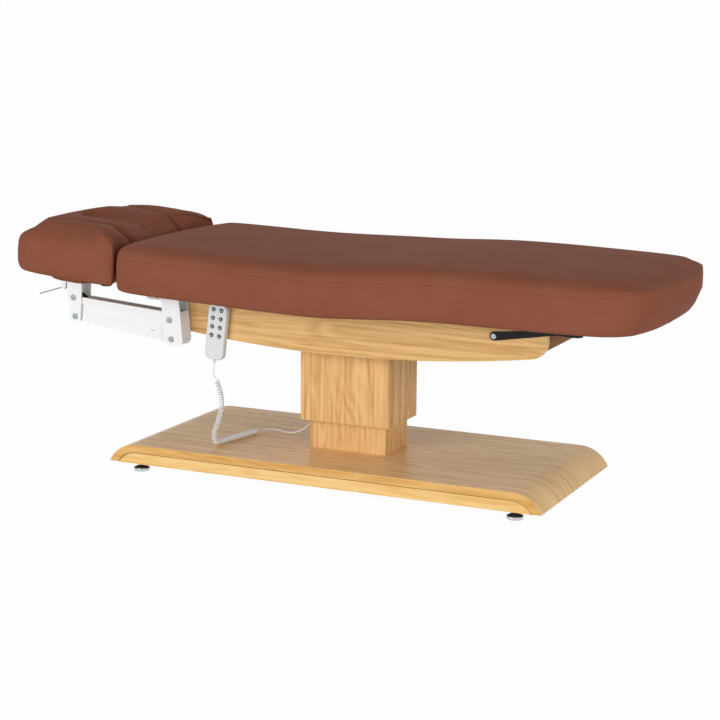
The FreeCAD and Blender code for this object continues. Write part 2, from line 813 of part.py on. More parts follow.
def make_lower_arm():
    # channel with an open top that nests between the bars of the upper arm
    width = bracket_width - 2 * bracket_plate - 4 * side_gap - 2 * arm_plate
    middle = -bracket_face + bracket_width / 2
    start, end, half = arm_line(rear_low, front_low, lower_above, lower_below)
    whole = bar(start, end, half, half, middle - width / 2, middle + width / 2)
    hollow = box(-far_away, far_away, middle - width / 2 + lower_plate, middle + width / 2 - lower_plate,
                 -far_away, far_away)
    floor = box(front_low[0] + 2 * half, rear_low[0] - 2 * half, middle - width / 2, middle + width / 2,
                rear_low[1] - 2 * lower_below, rear_low[1] - lower_below + lower_plate)
    floor = turned(floor, rear_low[0], rear_low[1], arm_lean)
    arm = whole.cut(hollow).fuse(whole.common(floor))
    for x, z in (rear_low, front_low):
        arm = arm.fuse(across(x, z, middle - width / 2, middle + width / 2, bush_radius))
    for x, z in (rear_low, front_low):
        arm = arm.cut(across(x, z, -far_away, far_away, arm_bolt + fit))
    return arm.removeSplitter()


def head_pose(shape):
    return turned(shape, head_pivot[0], head_pivot[1], head_tilt)


def head_flat(point):
    return turned_point(point, head_pivot[0], head_pivot[1], -head_tilt)


def make_upright():
    # tapered side plates with a flange on top, under the head board
    middle = -bracket_face + bracket_width / 2
    up = head_flat(front_up)
    low = head_flat(front_low)
    roof = head_pivot[1] - head_board_thick
    outline = [(up[0] - upright_top_half, roof), (low[0] - upright_low_half, low[1] - upright_tip),
               (low[0] + upright_low_half, low[1] - upright_tip), (up[0] + upright_top_half, roof)]
    sides = []
    for y0 in (middle - bracket_width / 2, middle + bracket_width / 2 - bracket_plate):
        sides.append(side_plate(outline, y0, y0 + bracket_plate, upright_round))
    flange = box(up[0] - upright_top_half - flange_reach, up[0] + upright_top_half,
                 middle - bracket_width / 2, middle + bracket_width / 2, roof - flange_thick, roof)
    upright = head_pose(sides[0].fuse([sides[1], flange]))
    for x, z in (front_up, front_low):
        upright = upright.cut(across(x, z, -far_away, far_away, arm_bolt + fit))
    return upright.removeSplitter()


def trigger_axis():
    up = head_flat(front_up)
    under = head_pivot[1] - head_board_thick - flange_thick
    return (up[0] - upright_top_half - trigger_set, under - trigger_drop)


def make_trigger_mount():
    # ears under the flange with the release handle's pin
    x, z = trigger_axis()
    middle = -bracket_face + bracket_width / 2
    roof = head_pivot[1] - head_board_thick - flange_thick
    half = trigger_wide / 2
    ears = []
    for y0 in (middle - half - side_gap - bracket_plate, middle + half + side_gap):
        ears.append(box(x - ear_half, x + ear_half, y0, y0 + bracket_plate, z - ear_half, roof))
    pin = across(x, z, middle - half - side_gap, middle + half + side_gap, trigger_pin)
    return head_pose(ears[0].fuse([ears[1], pin]).removeSplitter())


def make_trigger():
    # flat release handle that slopes down towards the head, with an eye on its pin
    x, z = trigger_axis()
    middle = -bracket_face + bracket_width / 2
    y0 = middle - trigger_wide / 2
    y1 = middle + trigger_wide / 2
    blade = box(x - trigger_length, x, y0, y1, z - trigger_thick / 2, z + trigger_thick / 2)
    picks = [e for e in blade.Edges if abs(e.CenterOfMass.x - x + trigger_length) < 0.1
             and abs(e.tangentAt(e.FirstParameter).z) > 0.9]
    blade = blade.makeFillet(trigger_round, picks)
    blade = turned(blade, x, z, -trigger_slope)
    eye = across(x, z, y0, y1, trigger_eye)
    handle = blade.fuse(eye).cut(across(x, z, y0 - 1, y1 + 1, trigger_pin + fit))
    return head_pose(handle.removeSplitter())


def groove(sign):
    # rounded V channel along the head cushion
    top = head_pivot[1] + head_thick + 2 * head_crown
    y = sign * groove_y
    low = head_pivot[1] + head_thick - groove_deep
    floor_half = groove_wide * groove_floor
    corners = ((y - groove_wide, top), (y - floor_half, low), (y + floor_half, low), (y + groove_wide, top))
    points = [Vector(-far_away, across_y, z) for across_y, z in corners]
    wire = Part.makePolygon(points + [points[0]])
    return Part.Face(wire).extrude(Vector(2 * far_away, 0, 0))


def prism(outline, low, high):
    wire = rounded_wire([Vector(x, y, low) for x, y in outline])
    return Part.Face(wire).extrude(Vector(0, 0, high - low))


def make_head_cushion():
    pad = cushion(mirrored_outline(head_half), head_thick, head_pivot[1], head_crown)
    for sign in (-1, 1):
        pad = pad.cut(groove(sign))
    hole = prism(mirrored_outline(plug_half), head_pivot[1] - 1, head_pivot[1] + 2 * head_thick)
    return head_pose(pad.cut(hole))


def make_face_plug():
    loop = drawn_in(mirrored_outline(plug_half), plug_gap)
    pad = prism(loop, head_pivot[1], head_pivot[1] + head_thick + head_crown - plug_sink)
    top = max(e.CenterOfMass.z for e in pad.Edges)
    rim = [e for e in pad.Edges if abs(e.CenterOfMass.z - top) < 0.1]
    return head_pose(pad.makeFillet(plug_rim, rim))


def make_head_board():
    # narrower behind the uprights, where the arms rise as the head goes down
    under = head_pivot[1] - head_board_thick
    blank = prism(mirrored_outline(head_board_half), under, head_pivot[1])
    opening = drawn_in(mirrored_outline(plug_half), plug_ledge)
    hole = prism(opening, under - 1, head_pivot[1] + 1)
    return head_pose(blank.cut(hole))


def handset_pose(shape):
    return turned(shape, handset_bottom[0], handset_bottom[1], handset_lean)


def button_places():
    x, z = handset_bottom
    for row in range(4):
        for column in (-0.5, 0.5):
            yield (x + column * button_pitch, z + button_row + row * button_pitch)


def make_handset():
    x, z = handset_bottom
    half = handset_width / 2
    top = z + handset_length
    outline = [(x - half, z), (x + half, z), (x + half, top), (x - half, top)]
    body = side_plate(outline, handset_front, handset_back, handset_round)
    rim = [e for e in body.Edges if abs(e.CenterOfMass.y - handset_front) < 0.1]
    body = body.makeFillet(handset_edge, rim)
    for bx, bz in button_places():
        body = body.cut(across(bx, bz, handset_front - 1, handset_front + button_deep + button_travel,
                               button_radius + button_gap))
    return handset_pose(body)


def make_button(place):
    face = handset_front - button_proud
    button = across(place[0], place[1], face, handset_front + button_deep, button_radius)
    front = [e for e in button.Edges if abs(e.CenterOfMass.y - face) < 0.1]
    return handset_pose(button.makeFillet(button_edge, front))


def make_hook():
    x, z = handset_bottom
    low = z + hook_up
    plate = box(x - hook_wide / 2, x + hook_wide / 2, handset_back, -rail_face, low, low + hook_tall)
    return handset_pose(plate)


def relief_place():
    return (handset_bottom[0], (handset_front + handset_back) / 2, handset_bottom[1])


def make_relief():
    x, y, z = relief_place()
    cone = Part.makeCone(relief_radius, relief_tip, relief_length, Vector(x, y, z), Vector(0, 0, -1))
    return handset_pose(cone)


def make_gland():
    x = -outer_x / 2 + column_wall / 2
    return Part.makeCylinder(gland_radius, gland_length, Vector(x, gland_y, outer_bottom - gland_length))


def biarc(p0, t0, p1, t1):
    # two arcs that leave p0 along t0 and reach p1 along t1
    v = p1 - p0
    t = t0 + t1
    bend = 2 * (1 - t0.dot(t1))
    if bend < 1e-9:
        return [Part.LineSegment(p0, p1).toShape()]
    vt = v.dot(t)
    d = (-vt + math.sqrt(vt * vt + bend * v.dot(v))) / bend
    q0 = p0 + t0 * d
    q1 = p1 - t1 * d
    joint = (q0 + q1) * 0.5
    edges = []
    for a, q, b, along in ((p0, q0, joint, t0), (joint, q1, p1, t1)):
        chord = b - a
        weight = abs(chord.dot(q - a)) / (chord.Length * (q - a).Length)
        middle = ((a + b) * 0.5 + q * weight) * (1 / (1 + weight))
        if (middle - (a + b) * 0.5).Length < 1e-6:
            edges.append(Part.LineSegment(a, b).toShape())
        else:
            edges.append(Part.Arc(a, middle, b).toShape())
    return edges


def tube(edges, start, along, radius):
    section = Part.Wire(Part.makeCircle(radius, start, along))
    shell = Part.BRepOffsetAPI.MakePipeShell(Part.Wire(edges))
    shell.add(section)
    shell.build()
    shell.makeSolid()
    return shell.shape()


def lead_exit():
    tip = turned_point((handset_bottom[0], handset_bottom[1] - relief_length),
                       handset_bottom[0], handset_bottom[1], handset_lean)
    return Vector(tip[0], relief_place()[1], tip[1])


def curl_line(share):
    # middle line of the curls: it hangs in a shallow bow, turns on the base and lies straight
    y = relief_place()[1]
    rest = base_top + curl_radius + cord_radius + side_gap
    hang = curl_start[1] - rest - curl_bend
    quarter = curl_bend * math.pi / 2
    along = share * (hang + quarter + curl_lie)
    heading = Vector(math.sin(math.radians(curl_heading)), math.cos(math.radians(curl_heading)), 0)
    foot = Vector(curl_start[0] - curl_drift, y, rest + curl_bend)
    if along < hang:
        return hang_point(along / hang, y), hang_slope(along / hang, hang)
    if along < hang + quarter:
        a = (along - hang) / curl_bend
        point = foot + heading * (curl_bend * (1 - math.cos(a))) - Vector(0, 0, curl_bend * math.sin(a))
        return point, Vector(0, 0, -1) * math.cos(a) + heading * math.sin(a)
    point = foot + heading * (curl_bend + along - hang - quarter) - Vector(0, 0, curl_bend)
    return point, heading


def hang_point(s, y):
    rest = base_top + curl_radius + cord_radius + side_gap
    bow = curl_bow * math.sin(math.pi * s ** 0.6) ** 2
    drift = curl_drift * s * s * (3 - 2 * s)
    return Vector(curl_start[0] + bow - drift, y, curl_start[1] - s * (curl_start[1] - rest - curl_bend))


def hang_slope(s, hang):
    step = 0.002
    slope = hang_point(min(s + step, 1.0), 0) - hang_point(max(s - step, 0.0), 0)
    slope.normalize()
    return slope


def curl_point(turn):
    # a point of the wire, turn by turn; the hanging turns are spread, the lying ones close
    if turn < hang_turns:
        share = turn / hang_turns * curl_hang_share
    else:
        share = curl_hang_share + (turn - hang_turns) / lie_turns * (1 - curl_hang_share)
    point, direction = curl_line(min(max(share, 0.0), 1.0))
    side = Vector(1, 0, 0) - direction * direction.x
    side.normalize()
    other = direction.cross(side)
    a = 2 * math.pi * turn
    return point + side * (curl_radius * math.cos(a)) + other * (curl_radius * math.sin(a))


def curl_tangent(turn):
    step = 0.02
    t = curl_point(turn + step) - curl_point(max(turn - step, 0.0))
    t.normalize()
    return t


def curl_gap(points_per_turn=16):
    # least distance between the wire and its next turns, surface to surface
    turns = hang_turns + lie_turns
    points = [curl_point(i / points_per_turn) for i in range(turns * points_per_turn + 1)]
    least = far_away
    for i, p in enumerate(points):
        for q in points[i + points_per_turn // 2 + 1:i + 2 * points_per_turn]:
            least = min(least, p.distanceToPoint(q))
    return least - 2 * cord_radius


def curl_end():
    point, direction = curl_line(1.0)
    return point + direction * (3.0 * cord_radius * 2), direction


def make_curl():
    # straight lead from the handset, all curls, and a short straight end
    exit_point = lead_exit()
    down = Vector(-math.sin(math.radians(handset_lean)), 0, -math.cos(math.radians(handset_lean)))
    turns = hang_turns + lie_turns
    lead_low = exit_point + down * lead_straight
    edges = [Part.LineSegment(exit_point, lead_low).toShape()]
    edges += biarc(lead_low, down, curl_point(0), curl_tangent(0))
    for i in range(2 * turns):
        a = i / 2
        b = (i + 1) / 2
        edges += biarc(curl_point(a), curl_tangent(a), curl_point(b), curl_tangent(b))
    end, direction = curl_end()
    stop = end + direction * (2 * cord_radius)
    edges += biarc(curl_point(turns), curl_tangent(turns), end, direction)
    edges.append(Part.LineSegment(end, stop).toShape())
    return tube(edges, exit_point, down, cord_radius), stop, direction


def lead_route(start):
    x = -outer_x / 2 + column_wall / 2
    mouth = Vector(x, gland_y, outer_bottom - gland_length)
    route = [start]
    for heading, run, rise in lead_runs:
        a = math.radians(heading)
        route.append(route[-1] + Vector(run * math.cos(a), run * math.sin(a), rise))
    turn_up = mouth - Vector(0, 0, lead_last)
    route.append((route[-1] + turn_up) * 0.5 - Vector(0, 0, lead_dip))
    return route + [turn_up, mouth]


def make_lead(start, direction):
    # free lead to the gland: straight runs joined by tangent arcs as large as the runs allow
    route = lead_route(start)
    edges = []
    last = route[0]
    radii = []
    for i in range(1, len(route) - 1):
        here = route[i]
        back = route[i - 1] - here
        ahead = route[i + 1] - here
        half_turn = (math.pi - back.getAngle(ahead)) / 2
        reach = 0.45 * min(back.Length, ahead.Length)
        radius = reach / math.tan(half_turn)
        radii.append(round(radius, 1))
        back.normalize()
        ahead.normalize()
        middle = back + ahead
        middle.normalize()
        start_arc = here + back * reach
        end_arc = here + ahead * reach
        edges.append(Part.LineSegment(last, start_arc).toShape())
        top = here + middle * (radius * (1 / math.cos(half_turn) - 1))
        edges.append(Part.Arc(start_arc, top, end_arc).toShape())
        last = end_arc
    edges.append(Part.LineSegment(last, route[-1]).toShape())
    length = sum(e.Length for e in edges)
    solid = tube(edges, route[0], direction, cord_radius)
    print("lead radii", radii, "length", round(length, 1), "volume share",
          round(solid.Volume / (math.pi * cord_radius ** 2 * length), 4))
    return solid


def width_at(half, x):
    for (x0, y0), (x1, y1) in zip(half, half[1:]):
        if x0 <= x <= x1:
            return y0 + (y1 - y0) * (x - x0) / (x1 - x0)


def cut_at(cut, z):
    # x of a leaning cut at height z; the cut's plane holds its hinge axis
    (x, axis), lean = cut
    return x + (z - axis) * math.tan(math.radians(lean))


def mattress_level(z, depth, crown, head_cut, foot_cut):
    # one outline of a mattress section, square where a leaning cut ends it
    whole = drawn_in(mirrored_outline(mattress_half), depth)
    if crown:
        whole = crown_of(whole)
    count = len(mattress_half)
    half = [(x, -y) for x, y in whole[:count]]
    first = -far_away
    last = far_away
    if head_cut:
        first = cut_at(head_cut, z) + kerf / 2
    if foot_cut:
        last = cut_at(foot_cut, z) - kerf / 2
    near = []
    if head_cut:
        near.append((first, width_at(half, first), 0))
    for (x, y), (flat_x, flat_y) in zip(half, mattress_half):
        if (not head_cut or flat_x > head_cut[0][0]) and (not foot_cut or flat_x < foot_cut[0][0]):
            near.append((x, y, 1))
    if foot_cut:
        near.append((last, width_at(half, last), 0))
    loop = [(Vector(x, -y, z), soft) for x, y, soft in near]
    loop += [(Vector(x, y, z), soft) for x, y, soft in reversed(near)]
    return rounded_wire([p for p, soft in loop], 0.45, None, [soft for p, soft in loop])


def mattress_section(head_cut, foot_cut):
    # a cut is its hinge axis and its lean to the foot in degrees
    wires = []
    for height, depth in soft_levels(mattress_rise):
        wires.append(mattress_level(board_top + height, depth, False, head_cut, foot_cut))
    depth = soft_levels(mattress_rise)[-1][1]
    wires.append(mattress_level(board_top + mattress_rise + crown_rise, depth, True, head_cut, foot_cut))
    return Part.makeLoft(wires, True, True)


def add_mattress(parts):
    # one mattress, slit at the hinges; the two bends are the wedges that fold there
    back_cut = (back_axis, -back_lean)
    parts["back_pad"] = back_pose(mattress_section(None, back_cut))
    parts["back_bend"] = mattress_section((back_axis, -back_lean + back_tilt), (back_axis, back_lean))
    parts["seat_pad"] = mattress_section((back_axis, back_lean), (thigh_axis, -thigh_lean))
    thigh_cut = (thigh_axis, thigh_lean - thigh_tilt)
    parts["hip_bend"] = mattress_section((thigh_axis, -thigh_lean), thigh_cut)
    thigh = mattress_section((thigh_axis, thigh_lean), (knee_axis, knee_lean))
    parts["thigh_pad"] = thigh_pose(thigh)
    parts["calf_pad"] = calf_pose(mattress_section((knee_axis, -knee_lean), None))


def add_base(parts):
    parts["base_board"] = make_base_board()
    parts["base_skirts"] = make_skirts()
    parts["foot_blocks"] = make_blocks()
    names = {(-1, -1): "foot_head_near", (-1, 1): "foot_head_far",
             (1, -1): "foot_foot_near", (1, 1): "foot_foot_far"}
    for (sx, sy), name in names.items():
        parts[name] = make_foot(sx, sy)
    parts["inner_column"] = column_box(inner_x, inner_y, base_top, inner_top, column_wall)
    parts["lift_tube"] = make_lift_tube()


def add_bed(parts):
    parts["outer_column"] = column_box(outer_x, outer_y, outer_bottom, outer_top, column_wall)
    parts["lift_ram"] = make_lift_ram()
    parts["top_plate"] = make_top_plate()
    parts["side_rails"] = both_sides(make_rail())
    parts["end_boards"] = make_end_boards()
    parts["seat_board"] = board(back_axis_x + board_setback, thigh_axis_x - board_setback, board_half, 0, 0)
    lugs = [fixed_lug(back_axis, 1), fixed_lug(thigh_axis, -1)]
    parts["seat_hinges"] = Part.makeCompound([s for lug in lugs for s in (lug, mirrored(lug))])
    parts["link_bolts"] = both_sides(make_link_bolt())
    back_angle = back_travel / 2
    thigh_angle = -thigh_travel / 2
    parts["back_drive"] = make_drive_body(-1, -1, drive_height(back_axis, back_angle))
    parts["leg_drive"] = make_drive_body(1, 1, drive_height(thigh_axis, thigh_angle))
    parts["back_drive_rod"] = make_drive_rod(-1, -1, back_axis, back_angle)
    parts["leg_drive_rod"] = make_drive_rod(1, 1, thigh_axis, thigh_angle)


def add_sections(parts):
    back = board(back_board_head, back_axis_x - board_setback, board_half, back_board_round, 0)
    thigh = board(thigh_axis_x + board_setback, knee_axis_x - board_setback, board_half, 0, 0)
    calf = board(knee_axis_x + board_setback, calf_board_foot, calf_board_half, 0, calf_board_round)
    parts["back_board"] = back_pose(back)
    parts["thigh_board"] = thigh_pose(thigh)
    parts["calf_board"] = calf_pose(calf)
    parts["back_hinges"] = back_pose(both_sides(moving_lug(back_axis, -1)))
    parts["back_lever"] = back_pose(lever(back_axis, -1, back_travel / 2 + back_tilt, -1))
    lugs = [moving_lug(thigh_axis, 1), fixed_lug(knee_axis, -1)]
    parts["thigh_hinges"] = thigh_pose(Part.makeCompound([s for lug in lugs for s in (lug, mirrored(lug))]))
    parts["thigh_lever"] = thigh_pose(lever(thigh_axis, 1, -thigh_travel / 2 - thigh_tilt, 1))
    parts["calf_hinges"] = calf_pose(both_sides(moving_lug(knee_axis, 1)))
    parts["calf_tabs"] = both_sides(make_calf_tab())
    parts["calf_links"] = both_sides(make_link())


def add_head(parts):
    parts["head_brackets"] = both_sides(make_rear_bracket())
    parts["bracket_bolts"] = pivot_bolts([rear_up, rear_low])
    parts["upper_arms"] = both_sides(make_upper_arm())
    parts["lower_arms"] = both_sides(make_lower_arm())
    upright = make_upright()
    with_ears = upright.fuse(make_trigger_mount()).removeSplitter()
    parts["head_uprights"] = Part.makeCompound([with_ears, mirrored(upright)])
    parts["upright_bolts"] = pivot_bolts([front_up, front_low])
    parts["head_board"] = make_head_board()
    parts["head_cushion"] = make_head_cushion()
    parts["face_plug"] = make_face_plug()
    parts["release_handle"] = make_trigger()


def add_handset(parts):
    parts["handset_body"] = make_handset().fuse(make_relief()).removeSplitter()
    parts["handset_hook"] = make_hook()
    for number, place in enumerate(button_places(), 1):
        parts["button_%d" % number] = make_button(place)
    parts["cord_gland"] = make_gland()
    parts["cord_curl"], stop, direction = make_curl()
    parts["cord_lead"] = make_lead(stop, direction)
    print("curl gap", round(curl_gap(), 2))


def main():
    parts = {}
    add_base(parts)
    add_bed(parts)
    add_sections(parts)
    add_mattress(parts)
    add_head(parts)
    add_handset(parts)
    object_box = FreeCAD.BoundBox()
    for shape in parts.values():
        object_box.add(shape.optimalBoundingBox(True, False))
    shift = Vector(-object_box.Center.x, 0, 0)
    os.makedirs("parts", exist_ok=True)
    for name, shape in parts.items():
        placed = shape.copy()
        placed.translate(shift)
        placed.exportStep("parts/%s.step" % name)
        solids = len(placed.Solids)
        if not placed.isValid() or solids == 0:
            print("check", name, placed.isValid(), solids)
    pivots = {"back": back_axis, "thigh": thigh_axis, "knee": knee_point(),
              "link": (link_x, link_z), "rear_up": rear_up, "rear_low": rear_low, "front_up": front_up,
              "front_low": front_low,
              "handle": turned_point(trigger_axis(), head_pivot[0], head_pivot[1], head_tilt)}
    for name, (x, z) in pivots.items():
        print("pivot", name, round(x + shift.x, 3), round(z, 3))
    print("shift", round(shift.x, 3), "box", object_box, "nodes", len(parts))


main()
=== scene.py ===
import json
import math

import bmesh
import bpy
import numpy as np
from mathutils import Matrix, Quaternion, Vector


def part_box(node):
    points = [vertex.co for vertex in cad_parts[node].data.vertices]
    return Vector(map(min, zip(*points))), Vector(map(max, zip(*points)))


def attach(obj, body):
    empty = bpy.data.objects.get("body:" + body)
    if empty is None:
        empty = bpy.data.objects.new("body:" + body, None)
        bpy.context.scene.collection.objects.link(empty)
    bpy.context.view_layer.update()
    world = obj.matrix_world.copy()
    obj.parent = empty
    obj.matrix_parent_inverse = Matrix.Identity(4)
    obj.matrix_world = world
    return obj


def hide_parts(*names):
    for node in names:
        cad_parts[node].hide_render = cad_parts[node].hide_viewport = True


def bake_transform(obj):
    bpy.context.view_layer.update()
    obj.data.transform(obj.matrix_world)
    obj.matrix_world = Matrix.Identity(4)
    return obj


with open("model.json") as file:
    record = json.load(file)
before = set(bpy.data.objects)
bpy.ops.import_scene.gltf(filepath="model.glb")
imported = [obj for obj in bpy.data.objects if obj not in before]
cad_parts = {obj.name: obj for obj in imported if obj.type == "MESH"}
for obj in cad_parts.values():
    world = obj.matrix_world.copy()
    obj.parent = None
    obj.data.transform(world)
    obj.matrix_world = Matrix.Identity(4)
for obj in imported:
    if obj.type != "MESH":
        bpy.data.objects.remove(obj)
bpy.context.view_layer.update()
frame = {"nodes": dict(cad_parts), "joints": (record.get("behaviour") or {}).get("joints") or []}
nodes = frame["nodes"]
columnLow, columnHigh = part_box("outer_column")
columnX = (columnLow[0] + columnHigh[0]) / 2  # the outlines below count X from the column's middle
mm = 0.001
scene = bpy.context.scene
scene.view_settings.view_transform = "Standard"


def toLinear(hexColour):
    # sRGB hex to the linear colour that the shader takes
    parts = np.array([int(hexColour[i:i + 2], 16) / 255 for i in (1, 3, 5)])
    linear = np.where(parts <= 0.04045, parts / 12.92, ((parts + 0.055) / 1.055) ** 2.4)
    return (*linear.tolist(), 1.0)


def addNode(tree, kind, values, links):
    # one node with its settings, socket values and incoming links
    node = tree.nodes.new(kind)
    for key, value in values.items():
        if isinstance(key, str) and hasattr(node, key):
            setattr(node, key, value)
        else:
            node.inputs[key].default_value = value
    for key, socket in links.items():
        tree.links.new(socket, node.inputs[key])
    return node


def newMaterial(name, values):
    material = bpy.data.materials.new(name)
    material.use_nodes = True
    shader = material.node_tree.nodes["Principled BSDF"]
    for key, value in values.items():
        shader.inputs[key].default_value = value
    return material, material.node_tree, shader


def leatherette():
    # vinyl leathercloth over foam: an even brown with a soft satin sheen and a fine pebbled grain (cells
    # drawn at 2 mm, coarser than the real 1 mm, so that they show close up)
    material, tree, shader = newMaterial("leatherette", {"Roughness": 0.6, "Specular IOR Level": 0.03})
    coords = addNode(tree, "ShaderNodeTexCoord", {}, {}).outputs["Object"]
    mottle = addNode(tree, "ShaderNodeTexNoise",
                     {"Scale": 1 / (leather["mottle"] * mm), "Detail": 4.0, "Roughness": 0.55}, {"Vector": coords})
    colour = addNode(tree, "ShaderNodeValToRGB", {}, {"Fac": mottle.outputs["Fac"]})
    colour.color_ramp.elements[0].position = 0.3
    colour.color_ramp.elements[0].color = toLinear(leather["dark"])
    colour.color_ramp.elements[1].position = 0.72
    colour.color_ramp.elements[1].color = toLinear(leather["light"])
    tree.links.new(colour.outputs["Color"], shader.inputs["Base Color"])
    cells = addNode(tree, "ShaderNodeTexVoronoi", {"Scale": 1 / (leather["grain"] * mm), "feature": "SMOOTH_F1"},
                    {"Vector": coords})
    bump = addNode(tree, "ShaderNodeBump", {"Strength": 0.1, "Distance": 0.4 * mm},
                   {"Height": cells.outputs["Distance"]})
    tree.links.new(bump.outputs["Normal"], shader.inputs["Normal"])
    return material


def veneer(name, grainAxes, tones, rough):
    # lacquered oak veneer: wandering figure lines along the grain, straight stripes and fine darker pores;
    # the stripes are 9 mm and the pores 4 mm wide, coarser than the real ones, so that they show
    material, tree, shader = newMaterial(name, {"Roughness": rough, "Specular IOR Level": 0.1})
    coords = addNode(tree, "ShaderNodeTexCoord", {}, {}).outputs["Object"]
    layers = []
    for width, length, detail, bend in grain["layers"]:
        scale = [1 / (width * mm)] * 3
        for axis in grainAxes:
            scale[axis] = 1 / (length * mm)
        place = addNode(tree, "ShaderNodeMapping", {"Scale": scale}, {"Vector": coords})
        layers.append(addNode(tree, "ShaderNodeTexNoise", {"Scale": 1.0, "Detail": detail, "Distortion": bend},
                              {"Vector": place.outputs["Vector"]}).outputs["Fac"])
    waves = addNode(tree, "ShaderNodeMath", {"operation": "MULTIPLY", 1: grain["waves"]}, {0: layers[0]})
    lines = addNode(tree, "ShaderNodeMath", {"operation": "PINGPONG", 1: 1.0}, {0: waves.outputs[0]})
    striped = addNode(tree, "ShaderNodeMath", {"operation": "MULTIPLY_ADD", 1: grain["figure"]},
                      {0: lines.outputs[0], 2: layers[1]})
    mixed = addNode(tree, "ShaderNodeMath", {"operation": "MULTIPLY_ADD", 1: grain["pores"]},
                    {0: layers[2], 2: striped.outputs[0]})
    colour = addNode(tree, "ShaderNodeValToRGB", {}, {"Fac": mixed.outputs[0]})
    for element, position, tone in zip(colour.color_ramp.elements, grain["ramp"], tones):
        element.position = position
        element.color = toLinear(tone)
    tree.links.new(colour.outputs["Color"], shader.inputs["Base Color"])
    bump = addNode(tree, "ShaderNodeBump", {"Strength": 0.05, "Distance": 0.3 * mm}, {"Height": layers[2]})
    tree.links.new(bump.outputs["Normal"], shader.inputs["Normal"])
    return material


def speckled(name, colours, grit, values, bumpStrength):
    # powder coat, moulded plastic, sheathing or zinc: two near tones and a fine orange-peel or grit
    material, tree, shader = newMaterial(name, values)
    coords = addNode(tree, "ShaderNodeTexCoord", {}, {}).outputs["Object"]
    noise = addNode(tree, "ShaderNodeTexNoise", {"Scale": 1 / (grit * mm), "Detail": 4.0}, {"Vector": coords})
    colour = addNode(tree, "ShaderNodeValToRGB", {}, {"Fac": noise.outputs["Fac"]})
    colour.color_ramp.elements[0].position = 0.35
    colour.color_ramp.elements[0].color = toLinear(colours[0])
    colour.color_ramp.elements[1].position = 0.65
    colour.color_ramp.elements[1].color = toLinear(colours[1])
    tree.links.new(colour.outputs["Color"], shader.inputs["Base Color"])
    bump = addNode(tree, "ShaderNodeBump", {"Strength": bumpStrength, "Distance": 0.2 * mm},
                   {"Height": noise.outputs["Fac"]})
    tree.links.new(bump.outputs["Normal"], shader.inputs["Normal"])
    return material


leather = {"dark": "#824C39", "light": "#88523F", "mottle": 120.0, "grain": 2.0}
grain = {"layers": ((70, 700, 2.0, 0.6), (9, 900, 2.0, 0.1), (4, 70, 3.0, 0.0)),  # width, length, detail, bend
         "waves": 20.0, "figure": 0.26, "pores": 0.45, "ramp": (0.48, 1.0)}
# the "end" tones are darker than the rails' as painted shade on the end boards
woods = {"rail": ("#BC8A4C", "#E8BD81"), "edge": ("#DFAC5E", "#F4CE8C"),
         "lip": ("#CB924A", "#E6B872"), "base": ("#D6A160", "#FFD89E"), "column": ("#C48C4E", "#EBC086"),
         "end": ("#7D5539", "#9C6D4B"), "ply": ("#B99A6C", "#D3B88E")}
leatherBrown = leatherette()
oakRail = veneer("lacquered oak, long grain", (0,), woods["rail"], 0.38)
oakEdge = veneer("pale oak skirt", (0,), woods["edge"], 0.4)
oakLip = veneer("oak lipping", (0,), woods["lip"], 0.4)
# painted shade: a dark tone for the shadowed groove between the base board and the skirts
paintedGrooveShade = speckled("painted shade in the groove", ("#4A3018", "#5C3D20"), 4.0, {"Roughness": 0.7}, 0.05)
oakBase = veneer("satin oak base", (0, 2), woods["base"], 0.32)  # its grain runs on down the bent ends
oakColumn = veneer("lacquered oak, upright grain", (2,), woods["column"], 0.38)
# painted shade: the end boards take darker tones, standing in for the shade on the foot end that faces away from the
# key light
oakAcross = veneer("cross-grain oak, darkened with painted shade", (1,), woods["end"], 0.75)
# painted shade: the boards under the mattress are near-black to stand in for the shade there
shadeDarkBoards = speckled("near-black boards, painted shade under the mattress", ("#17130F", "#221C17"), 3.0, {"Roughness": 0.85}, 0.2)
birchPly = veneer("birch plywood", (0,), woods["ply"], 0.6)
whiteCoat = speckled("white powder coat", ("#EBECEC", "#EEEFEF"), 6.0,
                     {"Roughness": 0.4, "Specular IOR Level": 0.3}, 0.02)
blackCoat = speckled("black satin powder coat", ("#0D0D0E", "#161618"), 6.0,
                     {"Roughness": 0.42, "Specular IOR Level": 0.15}, 0.08)
zincPlate = speckled("bright zinc plate", ("#B4B6B8", "#D2D3D4"), 3.0, {"Metallic": 1.0, "Roughness": 0.28}, 0.03)
brassPlate = speckled("brass", ("#B08A3E", "#C49A48"), 3.0, {"Metallic": 1.0, "Roughness": 0.3}, 0.02)
boltSteel = speckled("blue-grey zinc bolts", ("#7C878B", "#A6B0B3"), 1.5, {"Metallic": 1.0, "Roughness": 0.24}, 0.05)
handleSteel = speckled("burnished steel", ("#6A625B", "#8B847C"), 8.0, {"Metallic": 1.0, "Roughness": 0.3}, 0.02)
chromePlate = speckled("chrome plate", ("#DADBDD", "#E8E9EA"), 20.0, {"Metallic": 1.0, "Roughness": 0.09}, 0.0)
greyHousing = speckled("moulded grey nylon", ("#3A3B3D", "#47484A"), 2.0, {"Roughness": 0.55}, 0.1)
handsetShell = speckled("moulded ABS, cool grey", ("#D2D7D6", "#DDE1E0"), 2.0, {"Roughness": 0.42}, 0.06)
buttonRubber = speckled("moulded silicone keys", ("#111113", "#1D1D20"), 2.0, {"Roughness": 0.5}, 0.06)
whiteSheath = speckled("white PVC sheath", ("#E9E9EA", "#F4F4F5"), 3.0, {"Roughness": 0.36}, 0.03)
blackFoot = speckled("moulded black nylon", ("#131314", "#202022"), 2.0, {"Roughness": 0.5}, 0.06)
markInk = speckled("white key print", ("#E6E6E6", "#F4F4F4"), 2.0, {"Roughness": 0.55}, 0.0)
print("materials made")

